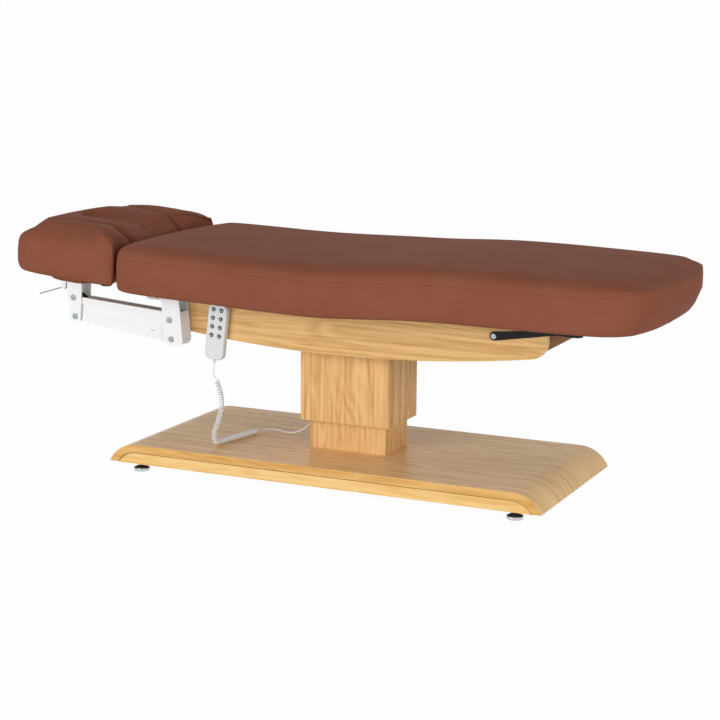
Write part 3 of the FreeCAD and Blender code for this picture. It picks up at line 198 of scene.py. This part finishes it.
nodeFinish = {
    "side_rails": oakRail, "end_boards": oakAcross, "base_board": oakBase, "base_skirts": oakEdge,
    "foot_blocks": birchPly, "inner_column": oakColumn, "outer_column": oakColumn, "lift_tube": zincPlate,
    "lift_ram": chromePlate, "top_plate": blackCoat, "seat_board": shadeDarkBoards, "back_board": shadeDarkBoards,
    "thigh_board": shadeDarkBoards, "calf_board": shadeDarkBoards, "head_board": leatherBrown, "seat_hinges": zincPlate,
    "back_hinges": zincPlate, "thigh_hinges": zincPlate, "calf_hinges": zincPlate, "link_bolts": boltSteel,
    "bracket_bolts": boltSteel, "upright_bolts": boltSteel, "calf_links": blackCoat, "calf_tabs": blackCoat,
    "back_lever": blackCoat, "thigh_lever": blackCoat, "back_drive": greyHousing, "leg_drive": greyHousing,
    "back_drive_rod": chromePlate, "leg_drive_rod": chromePlate, "head_brackets": whiteCoat,
    "upper_arms": whiteCoat, "lower_arms": whiteCoat, "head_uprights": whiteCoat, "release_handle": handleSteel,
    "handset_body": handsetShell, "handset_hook": greyHousing, "cord_gland": whiteSheath,
}
feet = ("foot_head_near", "foot_head_far", "foot_foot_near", "foot_foot_far")
footPad = 8.9 * mm  # the pad is metal up to here, the collar above it nylon


def setFinish(node, *materials):
    # the CAD node's slots get these finishes; the first one covers it
    node.data.materials.clear()
    for material in materials:
        node.data.materials.append(material)


def faceData(node):
    # middle and normal of every face of a CAD node, as arrays
    count = len(node.data.polygons)
    middle = np.empty(count * 3)
    normal = np.empty(count * 3)
    node.data.polygons.foreach_get("center", middle)
    node.data.polygons.foreach_get("normal", normal)
    return middle.reshape(-1, 3), normal.reshape(-1, 3)


def paintFaces(node, chosen):
    # the chosen faces take the node's second finish
    node.data.polygons.foreach_set("material_index", chosen.astype(np.int32))
    node.data.update()


for name, material in nodeFinish.items():
    setFinish(nodes[name], material)
for number in range(1, 9):
    setFinish(nodes["button_%d" % number], buttonRubber)
for name in feet:
    setFinish(nodes[name], blackFoot, zincPlate)
    middle, normal = faceData(nodes[name])
    paintFaces(nodes[name], middle[:, 2] < footPad)
for name, second in (("base_board", oakLip), ("side_rails", oakEdge), ("base_skirts", paintedGrooveShade)):
    setFinish(nodes[name], nodeFinish[name], second)
    middle, normal = faceData(nodes[name])
    outward = np.abs(normal[:, 1])
    if name == "base_board":
        paintFaces(nodes[name], outward > 0.9)  # lipping along both long edges
    elif name == "side_rails":
        paintFaces(nodes[name], outward < 0.5)  # pale lipping under and at the rails' ends
    else:
        paintFaces(nodes[name], (outward > 0.3) & (normal[:, 2] > 0.3))  # painted shade: the groove's faces under the board are painted dark where shade falls
print("frame finished")


def surface(name, grid, material, wrap=True):
    # quads between neighbouring rows and columns of the grid; doubles merged, faces turned outwards
    rows, cols = grid.shape[:2]
    index = np.arange(rows * cols).reshape(rows, cols)
    beside = np.roll(index, -1, axis=1)
    quads = np.stack([index[:-1], beside[:-1], beside[1:], index[1:]], axis=-1)
    if not wrap:
        quads = quads[:, :-1]
    mesh = bpy.data.meshes.new(name)
    mesh.from_pydata(grid.reshape(-1, 3).tolist(), [], quads.reshape(-1, 4).tolist())
    shell = bmesh.new()
    shell.from_mesh(mesh)
    bmesh.ops.remove_doubles(shell, verts=shell.verts, dist=0.02 * mm)
    bmesh.ops.recalc_face_normals(shell, faces=shell.faces)
    shell.to_mesh(mesh)
    shell.free()
    mesh.polygons.foreach_set("use_smooth", np.ones(len(mesh.polygons), bool))
    mesh.materials.append(material)
    piece = bpy.data.objects.new(name, mesh)
    scene.collection.objects.link(piece)
    return piece


def closedCurve(points, count):
    # a closed quadratic B-spline of the control points, resampled to equal steps along its length
    control = np.array(points, float)
    fine = np.linspace(0, len(control), 8000, endpoint=False)
    i = np.floor(fine).astype(int)
    f = (fine - i)[:, None]
    before = control[i - 1]
    here = control[i]
    after = control[(i + 1) % len(control)]
    line = (1 - f) ** 2 * (before + here) / 2 + 2 * f * (1 - f) * here + f ** 2 * (here + after) / 2
    step = np.linalg.norm(np.roll(line, -1, axis=0) - line, axis=1)
    along = np.concatenate([[0], np.cumsum(step)])
    target = np.linspace(0, along[-1], count, endpoint=False)
    ring = np.vstack([line, line[:1]])
    return np.stack([np.interp(target, along, ring[:, k]) for k in (0, 1)], axis=1)


def mirroredHalf(half):
    # near side from head to foot, then the far side back
    return [(x, -y) for x, y in half] + [(x, y) for x, y in reversed(half)]


def inwards(line):
    # unit normals of a closed line that runs anticlockwise, pointing in
    tangent = np.roll(line, -1, axis=0) - np.roll(line, 1, axis=0)
    tangent /= np.linalg.norm(tangent, axis=1)[:, None]
    return np.stack([-tangent[:, 1], tangent[:, 0]], axis=1)


def padGrid(outline, profile, spine, crown, steps, count):
    # rings of the outline, drawn in and raised by the profile, then rings that close on the spine while
    # the upper face rises by the crown; all in mm, as x, y and height
    line = closedCurve(outline, count)
    normal = inwards(line)
    height = np.array(profile)[:, 0]
    depth = np.array(profile)[:, 1]
    rings = line[None] + normal[None] * depth[:, None, None]
    grid = np.concatenate([rings, np.broadcast_to(height[:, None, None], rings.shape[:2] + (1,))], axis=2)
    top = rings[-1]
    middle = np.clip(top[:, 0], spine[0], spine[1])
    t = np.linspace(0, 1, steps + 1)[1:, None]
    x = top[:, 0] + t * (middle - top[:, 0])
    y = top[:, 1] * (1 - t)
    z = height[-1] + crown * (1 - (1 - t) ** 2) + 0 * x
    under = rings[0]
    low = np.stack([np.clip(under[:, 0], spine[0], spine[1]), 0 * under[:, 1], 0 * under[:, 1] + height[0]], axis=1)
    return np.concatenate([low[None], grid, np.stack([x, y, z], axis=2)])


def smoothStep(value, low, high):
    t = np.clip((value - low) / (high - low), 0, 1)
    return t * t * (3 - 2 * t)


mattress = {
    "half": [(-640, 105), (-629, 235), (-610, 313), (-552, 339), (-430, 346), (-300, 345), (-100, 369), (45, 389),
             (205, 363), (400, 352), (560, 355), (690, 352), (810, 338), (890, 298), (921, 210), (930, 95)],
    "profile": [(0, 40), (0, 12), (3, 5), (9, 2), (20, 0), (60, -1), (84, -0.4), (92, 0.8), (94.2, 1.4), (95, 2.8),
                (95.8, 1.4), (98, 1.6), (106, 3.6), (114, 9), (121, 18), (127, 32), (131, 50), (133.5, 70)],
    "spine": (-330, 600), "crown": 7.0, "bottom": 509.0, "steps": 24, "count": 640,
    "footRun": (780, 905), "undercut": 22.0, "underHeight": (0, 80),
    "seam": 97.0, "seamHalf": 20.0, "seamRise": 16.0,
    "knees": 430.0, "kneesHalf": 230.0, "kneesHeight": (60, 131), "swell": 5.0,
    "endRun": (840, 925), "footDrop": 9.0, "dropHeight": (98, 125), "footEase": 18.0, "easeHeight": (97, 112),
    "bandSeamY": -48.0, "bandSeam": 0.8, "bandRing": 8, "bandRings": (2, 11),
    "hinges": ((-200, 0.0349), (100, 0.0419), (330, -0.0524)), "headSlope": -0.0349, "ease": 35.0,
    "splits": (-50, 215),
}


def bedLine(x):
    # the boards' rise along the bed and its slope: straight sections eased into each other at the hinges
    rise = mattress["headSlope"] * (x - mattress["hinges"][0][0])
    slope = np.full_like(x, mattress["headSlope"])
    for axis, change in mattress["hinges"]:
        ramp = np.exp(-np.abs(x - axis) / mattress["ease"])
        rise = rise + change * (np.maximum(x - axis, 0) + mattress["ease"] * np.log1p(ramp))
        slope = slope + change / (1 + np.exp(-(x - axis) / mattress["ease"]))
    return rise, slope


def placeOnBed(grid):
    rise, slope = bedLine(grid[..., 0])
    x = grid[..., 0] - grid[..., 2] * slope
    z = mattress["bottom"] + rise + grid[..., 2]
    return np.stack([x * mm + columnX, grid[..., 1] * mm, z * mm], axis=-1)


def splitPiece(whole, name, low, high):
    # the faces whose middles lie between two X values become a piece of their own
    mesh = whole.data.copy()
    shell = bmesh.new()
    shell.from_mesh(mesh)
    away = [f for f in shell.faces if not low <= f.calc_center_median().x < high]
    bmesh.ops.delete(shell, geom=away, context="FACES")
    shell.to_mesh(mesh)
    shell.free()
    piece = bpy.data.objects.new(name, mesh)
    scene.collection.objects.link(piece)
    return piece


def shaped(grid):
    # at the foot end the lower edge runs in, the seam runs up, the upper edge drops and eases in, all as smooth
    # steps; the upper face swells over the knees as a Gaussian
    x, y, height = grid[..., 0], grid[..., 1], grid[..., 2]
    foot = smoothStep(x, *mattress["footRun"])
    under = foot * (1 - smoothStep(height, *mattress["underHeight"])) ** 2
    seam = foot * np.exp(-((height - mattress["seam"]) / mattress["seamHalf"]) ** 2)
    knees = np.exp(-((x - mattress["knees"]) / mattress["kneesHalf"]) ** 2)
    knees = knees * smoothStep(height, *mattress["kneesHeight"])
    end = smoothStep(x, *mattress["endRun"])
    drop = end * smoothStep(height, *mattress["dropHeight"])
    ease = end * smoothStep(height, *mattress["easeHeight"])
    raised = height + mattress["seamRise"] * seam + mattress["swell"] * knees - mattress["footDrop"] * drop
    return np.stack([x - mattress["undercut"] * under - mattress["footEase"] * ease, y, raised], axis=-1)


def sweep(name, path, radius, material, count=8):
    # circles of one radius across the path's direction, closed on the path at both ends
    run = np.gradient(path, axis=0)
    run /= np.linalg.norm(run, axis=1)[:, None]
    side = np.cross(run, [0.0, 1.0, 0.0])
    side /= np.linalg.norm(side, axis=1)[:, None]
    other = np.cross(run, side)
    a = np.linspace(0, 2 * math.pi, count, endpoint=False)[None, :, None]
    rings = path[:, None] + radius * (np.cos(a) * side[:, None] + np.sin(a) * other[:, None])
    ends = [np.repeat(point[None, None], count, axis=1) for point in (path[0], path[-1])]
    return surface(name, np.concatenate([ends[0], rings, ends[1]]), material)


def makeMattress():
    grid = shaped(padGrid(mirroredHalf(mattress["half"]), mattress["profile"], mattress["spine"], mattress["crown"],
                          mattress["steps"], mattress["count"]))
    placed = placeOnBed(grid)
    band = grid[mattress["bandRing"]]
    headward = band[:, 0] < mattress["footRun"][0]
    column = np.argmin(np.where(headward, np.inf, np.abs(band[:, 1] - mattress["bandSeamY"])))
    low, high = mattress["bandRings"]
    seam = sweep("footBandSeam", placed[low:high, column], mattress["bandSeam"] * mm, leatherBrown)
    whole = surface("mattressWhole", placed, leatherBrown)
    cuts = [-9.0] + [x * mm + columnX for x in mattress["splits"]] + [9.0]
    pieces = [splitPiece(whole, name, cuts[i], cuts[i + 1])
              for i, name in enumerate(("mattressBack", "mattressSeat", "mattressLegs"))]
    bpy.data.objects.remove(whole)
    return pieces + [seam]


def jointPoint(name):
    return [j for j in frame["joints"] if j["name"] == name][0]["pos_m"]


mattressBack, mattressSeat, mattressLegs, footBandSeam = makeMattress()
folds = ((mattressBack, "back_section", "bed", "back_raise", ("back_pad", "back_bend")),
         (mattressSeat, "bed", "thigh_section", "leg_raise", ("seat_pad", "hip_bend")),
         (mattressLegs, "thigh_section", "calf_section", "calf_fold", ("thigh_pad", "calf_pad")))
for piece, before, after, joint, hidden in folds:
    x, y, z = jointPoint(joint)
    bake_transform(piece)
    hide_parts(*hidden)
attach(footBandSeam, "calf_section")
print("mattress made")

headRest = {
    "pivot": (-640.0, 529.0), "tilt": 4.8, "middle": (-815.0, 0.0), "crown": 14.0, "count": 720, "steps": 40,
    "half": [(-990, 70), (-985, 160), (-974, 240), (-956, 288), (-908, 307), (-830, 311), (-750, 311), (-660, 306),
             (-618, 297), (-634, 262), (-643, 225), (-651, 90)],
    "profile": [(0, 40), (0, 22), (3, 12), (10, 6), (24, 1.5), (50, 0), (76, 0.2), (88, 1.4), (97, 4), (104, 8.2),
                (109.5, 14), (114.5, 21.5), (120.5, 32), (126.5, 43.5), (132.5, 55.5), (138, 67)],
    "lowerTo": 60.0, "rearRun": (-720, -655), "rearShare": 0.18, "uprightRun": (-700, -640),
    "frontRun": (900, 965), "frontShare": 1.15, "frontMiddle": 0.7, "frontSides": (165, 215), "lip": 3.0,
    "creaseEnds": (-925, -670), "creaseOff": (205.0, 140.0), "creaseHalf": 11.0, "creaseDeep": 11.0,
    "creaseHeight": (40, 118), "notchRear": (-730, -660), "notchDeep": 26.0, "notchFront": 0.8, "notchIn": 14.0,
    "hollow": 26.0, "hollowHalf": 75.0, "hollowRun": (-950, -870), "hollowHeight": (30, 140),
    "upperHeight": (90, 140), "sides": (150, 230), "middleRise": 3.0,
    "bulge": 14.0, "bulgeFront": (-960, -800), "bulgeRear": (-700, -630),
    "fallFrom": 100.0, "fallRun": (-740, -640), "fallMiddle": 0.65, "fallSide": 0.2,
}
plug = {
    "half": [(-906, 26), (-884, 46), (-815, 45), (-745, 25), (-706, 8)], "gap": 0.7, "crown": 0.5,
    "profile": [(6, 12), (6, 3), (10, 0), (60, 0), (146, 0), (149.5, 0.8), (151.2, 2.6), (151.7, 6), (151.8, 10)],
    "spine": (-860, -800), "steps": 6, "count": 240,
}


def placeOnHead(grid):
    # tilted about the head plane's rear edge
    a = math.radians(headRest["tilt"])
    px, pz = headRest["pivot"]
    dx = grid[..., 0] - px
    x = px + dx * math.cos(a) + grid[..., 2] * math.sin(a)
    z = pz - dx * math.sin(a) + grid[..., 2] * math.cos(a)
    return np.stack([x * mm + columnX, grid[..., 1] * mm, z * mm], axis=-1)


def ringAbout(line, outline, spread):
    # for every point of the line, the outline's point in the same direction from the head's middle
    middle = np.array(headRest["middle"])
    shape = closedCurve(outline, 4000)
    shape = shape - inwards(shape) * spread - middle
    wanted = np.arctan2(line[:, 1] - middle[1], line[:, 0] - middle[0])
    angle = np.arctan2(shape[:, 1], shape[:, 0])
    radius = np.interp(wanted, np.sort(angle), np.hypot(shape[:, 0], shape[:, 1])[np.argsort(angle)],
                       period=2 * math.pi)
    return middle + radius[:, None] * np.stack([np.cos(wanted), np.sin(wanted)], axis=1)


def level(ring, height):
    return np.concatenate([ring, np.broadcast_to(np.asarray(height, float), (len(ring),))[:, None]], axis=1)


def creased(grid):
    # two creases that close in towards the rear: depth falls off as a Gaussian across and grows to notches at
    # both ends
    x, y, height = grid[..., 0], grid[..., 1], grid[..., 2]
    place = np.interp(x, headRest["creaseEnds"], headRest["creaseOff"])
    across = np.exp(-((np.abs(y) - place) / headRest["creaseHalf"]) ** 2)
    across = across * smoothStep(height, *headRest["creaseHeight"])
    rear = smoothStep(x, *headRest["notchRear"])
    front = smoothStep(-x, *headRest["frontRun"])
    deep = headRest["creaseDeep"] + headRest["notchDeep"] * (rear + headRest["notchFront"] * front)
    shift = headRest["notchIn"] * (front - rear)
    return np.stack([x + shift * across, y, height - deep * across], axis=-1)


def hollowed(grid):
    # both sides bulge along their length by smooth steps, the upper face dips towards the face hole as a Gaussian
    # across, and what lies above fallFrom is pressed down towards the rear
    x, y, height = grid[..., 0], grid[..., 1], grid[..., 2]
    upper = smoothStep(height, *headRest["upperHeight"])
    beside = smoothStep(np.abs(y), *headRest["sides"])
    dip = np.exp(-(y / headRest["hollowHalf"]) ** 2) * smoothStep(x, *headRest["hollowRun"])
    dip = headRest["hollow"] * dip * smoothStep(height, *headRest["hollowHeight"])
    bulge = smoothStep(x, *headRest["bulgeFront"]) * (1 - smoothStep(x, *headRest["bulgeRear"]))
    raised = height - dip + upper * (headRest["bulge"] * bulge * beside + headRest["middleRise"] * (1 - beside))
    fall = headRest["fallMiddle"] * (1 - beside) + headRest["fallSide"] * beside
    fall = fall * smoothStep(x, *headRest["fallRun"])
    return np.stack([x, y, raised - np.maximum(raised - headRest["fallFrom"], 0) * fall], axis=-1)


def headGrid():
    # rings round a torus: out under the cushion, up its side, in over the crowned face, down the face hole
    line = closedCurve(mirroredHalf(headRest["half"]), headRest["count"])
    normal = inwards(line)
    profile = headRest["profile"]
    crest = profile[-1][0] + headRest["crown"]
    lip, rim, hole = (ringAbout(line, mirroredHalf(plug["half"]), plug["gap"] + headRest["lip"] * share)
                      for share in (1, 0.3, 0))
    share = 1 - (1 - headRest["rearShare"]) * smoothStep(line[:, 0], *headRest["rearRun"])  # steeper at the rear
    beside = smoothStep(np.abs(line[:, 1]), *headRest["frontSides"])
    front = headRest["frontMiddle"] * (1 - beside) + headRest["frontShare"] * beside  # rounder at the front's sides
    share += (front - 1) * smoothStep(-line[:, 0], *headRest["frontRun"])
    lower = np.maximum(share, 1)  # the lower edge keeps its rounding all round
    lean = math.tan(math.radians(headRest["tilt"]))
    upright = lean * smoothStep(line[:, 0], *headRest["uprightRun"])  # no lean at the rear
    rings = [level(hole, 0)]
    for height, depth in profile:
        inset = depth * (share if height > headRest["lowerTo"] else lower) + upright * height
        rings.append(level(line + normal * inset[:, None], height))
    edge = rings[-1][:, :2]
    for t in np.linspace(0, 1, headRest["steps"])[1:]:
        rings.append(level(edge + (lip - edge) * t, profile[-1][0] + headRest["crown"] * (1 - (1 - t) ** 2)))
    rings += [level(rim, crest - headRest["lip"] * 0.3), level(hole, crest - headRest["lip"])]
    rings += [level(hole, height) for height in np.linspace(crest - headRest["lip"], 0, 6)[1:]]
    return np.array(rings)


def makeHead():
    return surface("headCushion", placeOnHead(hollowed(creased(headGrid()))), leatherBrown)


def makePlug():
    grid = padGrid(mirroredHalf(plug["half"]), plug["profile"], plug["spine"], plug["crown"], plug["steps"],
                   plug["count"])
    return surface("facePlug", placeOnHead(hollowed(grid)), leatherBrown)


headCushion = makeHead()
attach(headCushion, "head")
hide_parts("head_cushion")
facePlug = makePlug()
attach(facePlug, "plug")
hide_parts("face_plug")
print("head cushion made")

cord = {
    "diameter": 3.8, "curl": 6.2, "hangTurns": 30, "lieTurns": 32, "hangShare": 0.56, "perTurn": 14,
    "lead": [(-358.7, -194.5, 320.1), (-360.0, -194.5, 309), (-361.3, -194.5, 297), (-361.0, -194.5, 286),
             (-356, -194.5, 276)],
    "middle": [(-350, -194.5, 268), (-343, -194.5, 250), (-336, -194.5, 224), (-336.5, -194.5, 190),
               (-345, -194.5, 160), (-355, -194.5, 136), (-361, -194.5, 118), (-361, -193.5, 98),
               (-359, -183.5, 89), (-355.5, -167.5, 88.5), (-347.5, -128.5, 88.5), (-339.5, -89.5, 88.5),
               (-331.6, -50.5, 88.5), (-323.7, -11.2, 88.5)],
    "tail": [(-321.5, -0.5, 87.5), (-320.7, 3.7, 87.5), (-317.5, 19.4, 87.5), (-297.6, 36.1, 87.5), (-269.7, 33.7, 88),
             (-242.1, 12.1, 90), (-211, -9.7, 95), (-177.5, -25.3, 106), (-154, -32.6, 120), (-130.5, -40, 138),
             (-130.5, -40, 154)],
}


def inRow(points):
    # from mm about the column to metres in the row frame
    return np.array(points, float) * mm + np.array([columnX, 0, 0])


def nurbs(name, points):
    curve = bpy.data.curves.new(name, "CURVE")
    curve.dimensions = "3D"
    spline = curve.splines.new("NURBS")
    spline.points.add(len(points) - 1)
    spline.points.foreach_set("co", np.hstack([points, np.ones((len(points), 1))]).ravel())
    spline.order_u = 3
    spline.use_endpoint_u = True
    spline.resolution_u = 4
    piece = bpy.data.objects.new(name, curve)
    scene.collection.objects.link(piece)
    return piece


def splinePoints(piece):
    mesh = bpy.data.meshes.new_from_object(piece.evaluated_get(bpy.context.evaluated_depsgraph_get()))
    points = np.empty(len(mesh.vertices) * 3)
    mesh.vertices.foreach_get("co", points)
    return points.reshape(-1, 3)


def helixAbout(line):
    # the wire turns about the middle line, hanging turns spread and lying turns close
    step = np.linalg.norm(np.diff(line, axis=0), axis=1)
    along = np.concatenate([[0], np.cumsum(step)]) / step.sum()
    turns = cord["hangTurns"] + cord["lieTurns"]
    turn = np.linspace(0, turns, turns * cord["perTurn"] + 1)
    share = np.interp(turn, [0, cord["hangTurns"], turns], [0, cord["hangShare"], 1])
    centre = np.stack([np.interp(share, along, line[:, k]) for k in range(3)], axis=1)
    tangent = np.gradient(centre, axis=0)
    tangent /= np.linalg.norm(tangent, axis=1)[:, None]
    side = np.array([1.0, 0, 0]) - tangent * tangent[:, :1]
    side /= np.linalg.norm(side, axis=1)[:, None]
    other = np.cross(tangent, side)
    a = 2 * math.pi * turn[:, None]
    return centre + cord["curl"] * mm * (side * np.cos(a) + other * np.sin(a))


def makeCord():
    route = nurbs("curlRoute", inRow(cord["middle"]))
    helix = helixAbout(splinePoints(route))
    bpy.data.objects.remove(route)
    points = np.vstack([inRow(cord["lead"]), helix, inRow(cord["tail"])])
    piece = nurbs("handsetCord", points)
    length = np.linalg.norm(np.diff(splinePoints(piece), axis=0), axis=1).sum()
    piece.data.bevel_depth = cord["diameter"] / 2 * mm
    piece.data.bevel_resolution = 3
    piece.data.materials.append(whiteSheath)
    return piece, points, length


handsetCord, cordPoints, cordLength = makeCord()
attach(handsetCord, "bed")
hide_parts("cord_curl", "cord_lead")
print("cord made, length", round(float(cordLength), 3))

details = {
    "strut": ((-788, 493), (-757, 473)), "strutRadius": 4.2, "tip": (-751, 469), "tipRadius": 3.4, "strutY": 210.0,
    "screw": (-536.5, 406.5), "screwRadius": 5.0, "screwFace": 226.4,
}


def lathe(name, start, end, radii, material, count=24):
    # circles of the given radii at equal shares of a straight run; both ends closed on the run itself
    start = np.array(start, float)
    end = np.array(end, float)
    run = (end - start) / np.linalg.norm(end - start)
    side = np.cross(run, [0.0, 0.0, 1.0] if abs(run[2]) < 0.9 else [1.0, 0.0, 0.0])
    side /= np.linalg.norm(side)
    other = np.cross(run, side)
    a = np.linspace(0, 2 * math.pi, count, endpoint=False)
    circle = np.cos(a)[:, None] * side + np.sin(a)[:, None] * other
    stops = [0.0] + np.linspace(0, 1, len(radii)).tolist() + [1.0]
    sizes = [0.0] + list(radii) + [0.0]
    grid = np.array([start + (end - start) * t + circle * r for t, r in zip(stops, sizes)])
    return surface(name, grid * mm + np.array([columnX, 0, 0]), material)


def makeDetails():
    for sign, side in ((-1, "Near"), (1, "Far")):
        y = sign * details["strutY"]
        (x0, z0), (x1, z1) = details["strut"]
        x2, z2 = details["tip"]
        r = details["strutRadius"]
        rod = lathe("strutEnd" + side, (x0, y, z0), (x1, y, z1), (r * 0.9, r, r, r * 0.9), blackCoat)
        tip = lathe("strutTip" + side, (x1, y, z1), (x2, y, z2), (details["tipRadius"],) * 3, brassPlate)
        x, z = details["screw"]
        face = sign * details["screwFace"]
        r = details["screwRadius"]
        screw = lathe("armScrew" + side, (x, face, z), (x, face + sign * 1.6, z), (r, r, r * 0.8), zincPlate)
        for piece, body, slot in ((rod, "arms_upper", "black_steel"), (tip, "arms_upper", "zinc"),
                                  (screw, "arms_lower", "zinc")):
            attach(piece, body)


makeDetails()
print("small fittings made")

keys = {"lean": 6.3, "proud": 0.25, "size": 3.4, "dot": 0.8, "dotDrop": 9.6}


def flatMark(name, outlines, centre, material):
    # flat shapes in the handset's leaning face, a hair proud of it
    a = math.radians(keys["lean"])
    verts = []
    faces = []
    for outline in outlines:
        shape = np.array(outline, float) * mm
        x = shape[:, 0] * math.cos(a) + shape[:, 1] * math.sin(a)
        z = -shape[:, 0] * math.sin(a) + shape[:, 1] * math.cos(a)
        start = len(verts)
        verts += np.stack([centre[0] + x, np.full(len(x), centre[1]), centre[2] + z], axis=1).tolist()
        faces.append(list(range(start, start + len(x))))
    mesh = bpy.data.meshes.new(name)
    mesh.from_pydata(verts, [], faces)
    mesh.materials.append(material)
    piece = bpy.data.objects.new(name, mesh)
    scene.collection.objects.link(piece)
    thick = piece.modifiers.new("ink", "SOLIDIFY")
    thick.thickness = 0.2 * mm
    thick.offset = 0.0
    return piece


def disc(radius, dx, dz, count=16):
    a = np.linspace(0, 2 * math.pi, count, endpoint=False)
    return np.stack([dx + radius * np.cos(a), dz + radius * np.sin(a)], axis=1)


def makeKeys():
    s = keys["size"]
    bed = np.array([(-s, -s * 0.62), (s, -s * 0.62), (s, -s * 0.3), (-s, -s * 0.3)])
    arrow = np.array([(-s * 0.5, 0.0), (s * 0.5, 0.0), (0, s * 0.75)])
    for number in range(1, 9):
        low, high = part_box("button_%d" % number)
        middle = [(low[0] + high[0]) / 2, low[1] - keys["proud"] * mm / 2, (low[2] + high[2]) / 2]
        flip = -1 if number % 2 == 0 else 1
        marks = [bed, arrow * np.array([1, flip]) + np.array([0, 0 if flip > 0 else s * 0.75])]
        piece = flatMark("keyMark%d" % number, marks, middle, markInk)
        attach(piece, "button_%d" % number)
    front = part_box("handset_body")[0][1]
    centres = [[(a + b) / 2 for a, b in zip(*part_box("button_%d" % n))] for n in range(1, 9)]
    origin = [centres[0][0], front - 0.05 * mm, centres[0][2]]
    a = math.radians(keys["lean"])
    dots = []
    for c in centres:
        dx = (c[0] - origin[0]) / mm
        dz = (c[2] - origin[2]) / mm
        dots.append(disc(keys["dot"], dx * math.cos(a) - dz * math.sin(a),
                         dx * math.sin(a) + dz * math.cos(a) - keys["dotDrop"]))
    piece = flatMark("keyDots", dots, origin, buttonRubber)
    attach(piece, "bed")


makeKeys()
print("handset marks made")

studio = {"target": (2.2, 0.0, 326.89), "azimuth": 24.71, "elevation": 11.25, "roll": 0.45, "distance": 5.28267,
          "lens": 93.72, "floor": "#F3F3F2", "world": 0.4, "glow": 0.97}
softBoxes = {
    "keySoftBox": {"place": (-1.6, -4.4, 1.25), "target": (0, 0, 0.4), "size": (3.4, 2.0), "power": 106.0},
    "fillSoftBox": {"place": (3.8, -2.2, 1.0), "target": (0, 0, 0.3), "size": (2.0, 1.8), "power": 58.0},
    "topSoftBox": {"place": (0.2, 0.6, 3.4), "target": (0, 0, 0.4), "size": (3.0, 2.0), "power": 6.0},
}
paper = {"front": -9.0, "bendAt": 4.0, "radius": 2.5, "top": 7.0, "half": 11.0, "below": 0.0002}


def makeCamera():
    a = math.radians(studio["azimuth"])
    e = math.radians(studio["elevation"])
    back = Vector((math.sin(a) * math.cos(e), -math.cos(a) * math.cos(e), math.sin(e)))
    data = bpy.data.cameras.new("photoCamera")
    data.lens = studio["lens"]
    data.sensor_width = 36.0
    data.clip_end = 60.0
    camera = bpy.data.objects.new("photoCamera", data)
    scene.collection.objects.link(camera)
    camera.rotation_mode = "QUATERNION"
    camera.location = Vector(inRow([studio["target"]])[0]) + back * studio["distance"]
    turn = Quaternion((0, 0, 1), math.radians(studio["roll"]))
    camera.rotation_quaternion = (-back).to_track_quat("-Z", "Y") @ turn
    scene.camera = camera


def softBox(name, place, target, size, power):
    data = bpy.data.lights.new(name, "AREA")
    data.shape = "RECTANGLE"
    data.size, data.size_y = size
    data.energy = power
    lamp = bpy.data.objects.new(name, data)
    scene.collection.objects.link(lamp)
    lamp.location = place
    lamp.rotation_mode = "QUATERNION"
    lamp.rotation_quaternion = (Vector(target) - Vector(place)).to_track_quat("-Z", "Y")


def seenRay(tree):
    # 1 for rays from the camera and for those mirrored or passed on to it
    path = addNode(tree, "ShaderNodeLightPath", {}, {})
    mirrored = addNode(tree, "ShaderNodeMath", {"operation": "MAXIMUM"},
                       {0: path.outputs["Is Camera Ray"], 1: path.outputs["Is Glossy Ray"]})
    passed = addNode(tree, "ShaderNodeMath", {"operation": "MAXIMUM"},
                     {0: mirrored.outputs[0], 1: path.outputs["Is Transmission Ray"]})
    return passed.outputs[0]


def backdropPaper():
    # matt white paper that looks nearly white and still takes the bed's shadow: part of it glows for seen rays
    material, tree, shader = newMaterial("white backdrop paper", {"Base Color": toLinear(studio["floor"]),
                                                                  "Roughness": 0.9, "Specular IOR Level": 0.1})
    glow = addNode(tree, "ShaderNodeEmission", {"Color": (1, 1, 1, 1), "Strength": 1.0}, {})
    share = addNode(tree, "ShaderNodeMath", {"operation": "MULTIPLY", 1: studio["glow"]}, {0: seenRay(tree)})
    mixed = addNode(tree, "ShaderNodeMixShader", {}, {0: share.outputs[0], 1: shader.outputs[0], 2: glow.outputs[0]})
    tree.links.new(mixed.outputs[0], tree.nodes["Material Output"].inputs["Surface"])
    return material


def makeStudio():
    # floor that runs up into a backdrop in one bend: the profile is a straight run, a quarter turn and a rise
    radius = paper["radius"]
    run = np.linspace(paper["front"], paper["bendAt"], 40)
    bend = np.linspace(0, math.pi / 2, 24)[1:]
    y = np.concatenate([run, paper["bendAt"] + radius * np.sin(bend), np.full(20, paper["bendAt"] + radius)])
    z = np.concatenate([np.zeros(40), radius * (1 - np.cos(bend)), np.linspace(radius + 0.2, paper["top"], 20)])
    x, y = np.meshgrid(np.linspace(-paper["half"], paper["half"], 30), y)
    grid = np.stack([x, y, np.broadcast_to(z[:, None], x.shape) - paper["below"]], axis=2)
    surface("studioFloor", grid, backdropPaper(), wrap=False)
    world = bpy.data.worlds.new("softRoom")
    world.use_nodes = True
    tree = world.node_tree
    strength = addNode(tree, "ShaderNodeMapRange", {"To Min": studio["world"], "To Max": 1.0},
                       {"Value": seenRay(tree)})
    tree.links.new(strength.outputs["Result"], tree.nodes["Background"].inputs["Strength"])
    tree.nodes["Background"].inputs["Color"].default_value = (1, 1, 1, 1)
    scene.world = world
    for name, box in softBoxes.items():
        softBox(name, **box)


makeCamera()
makeStudio()
print("studio made")
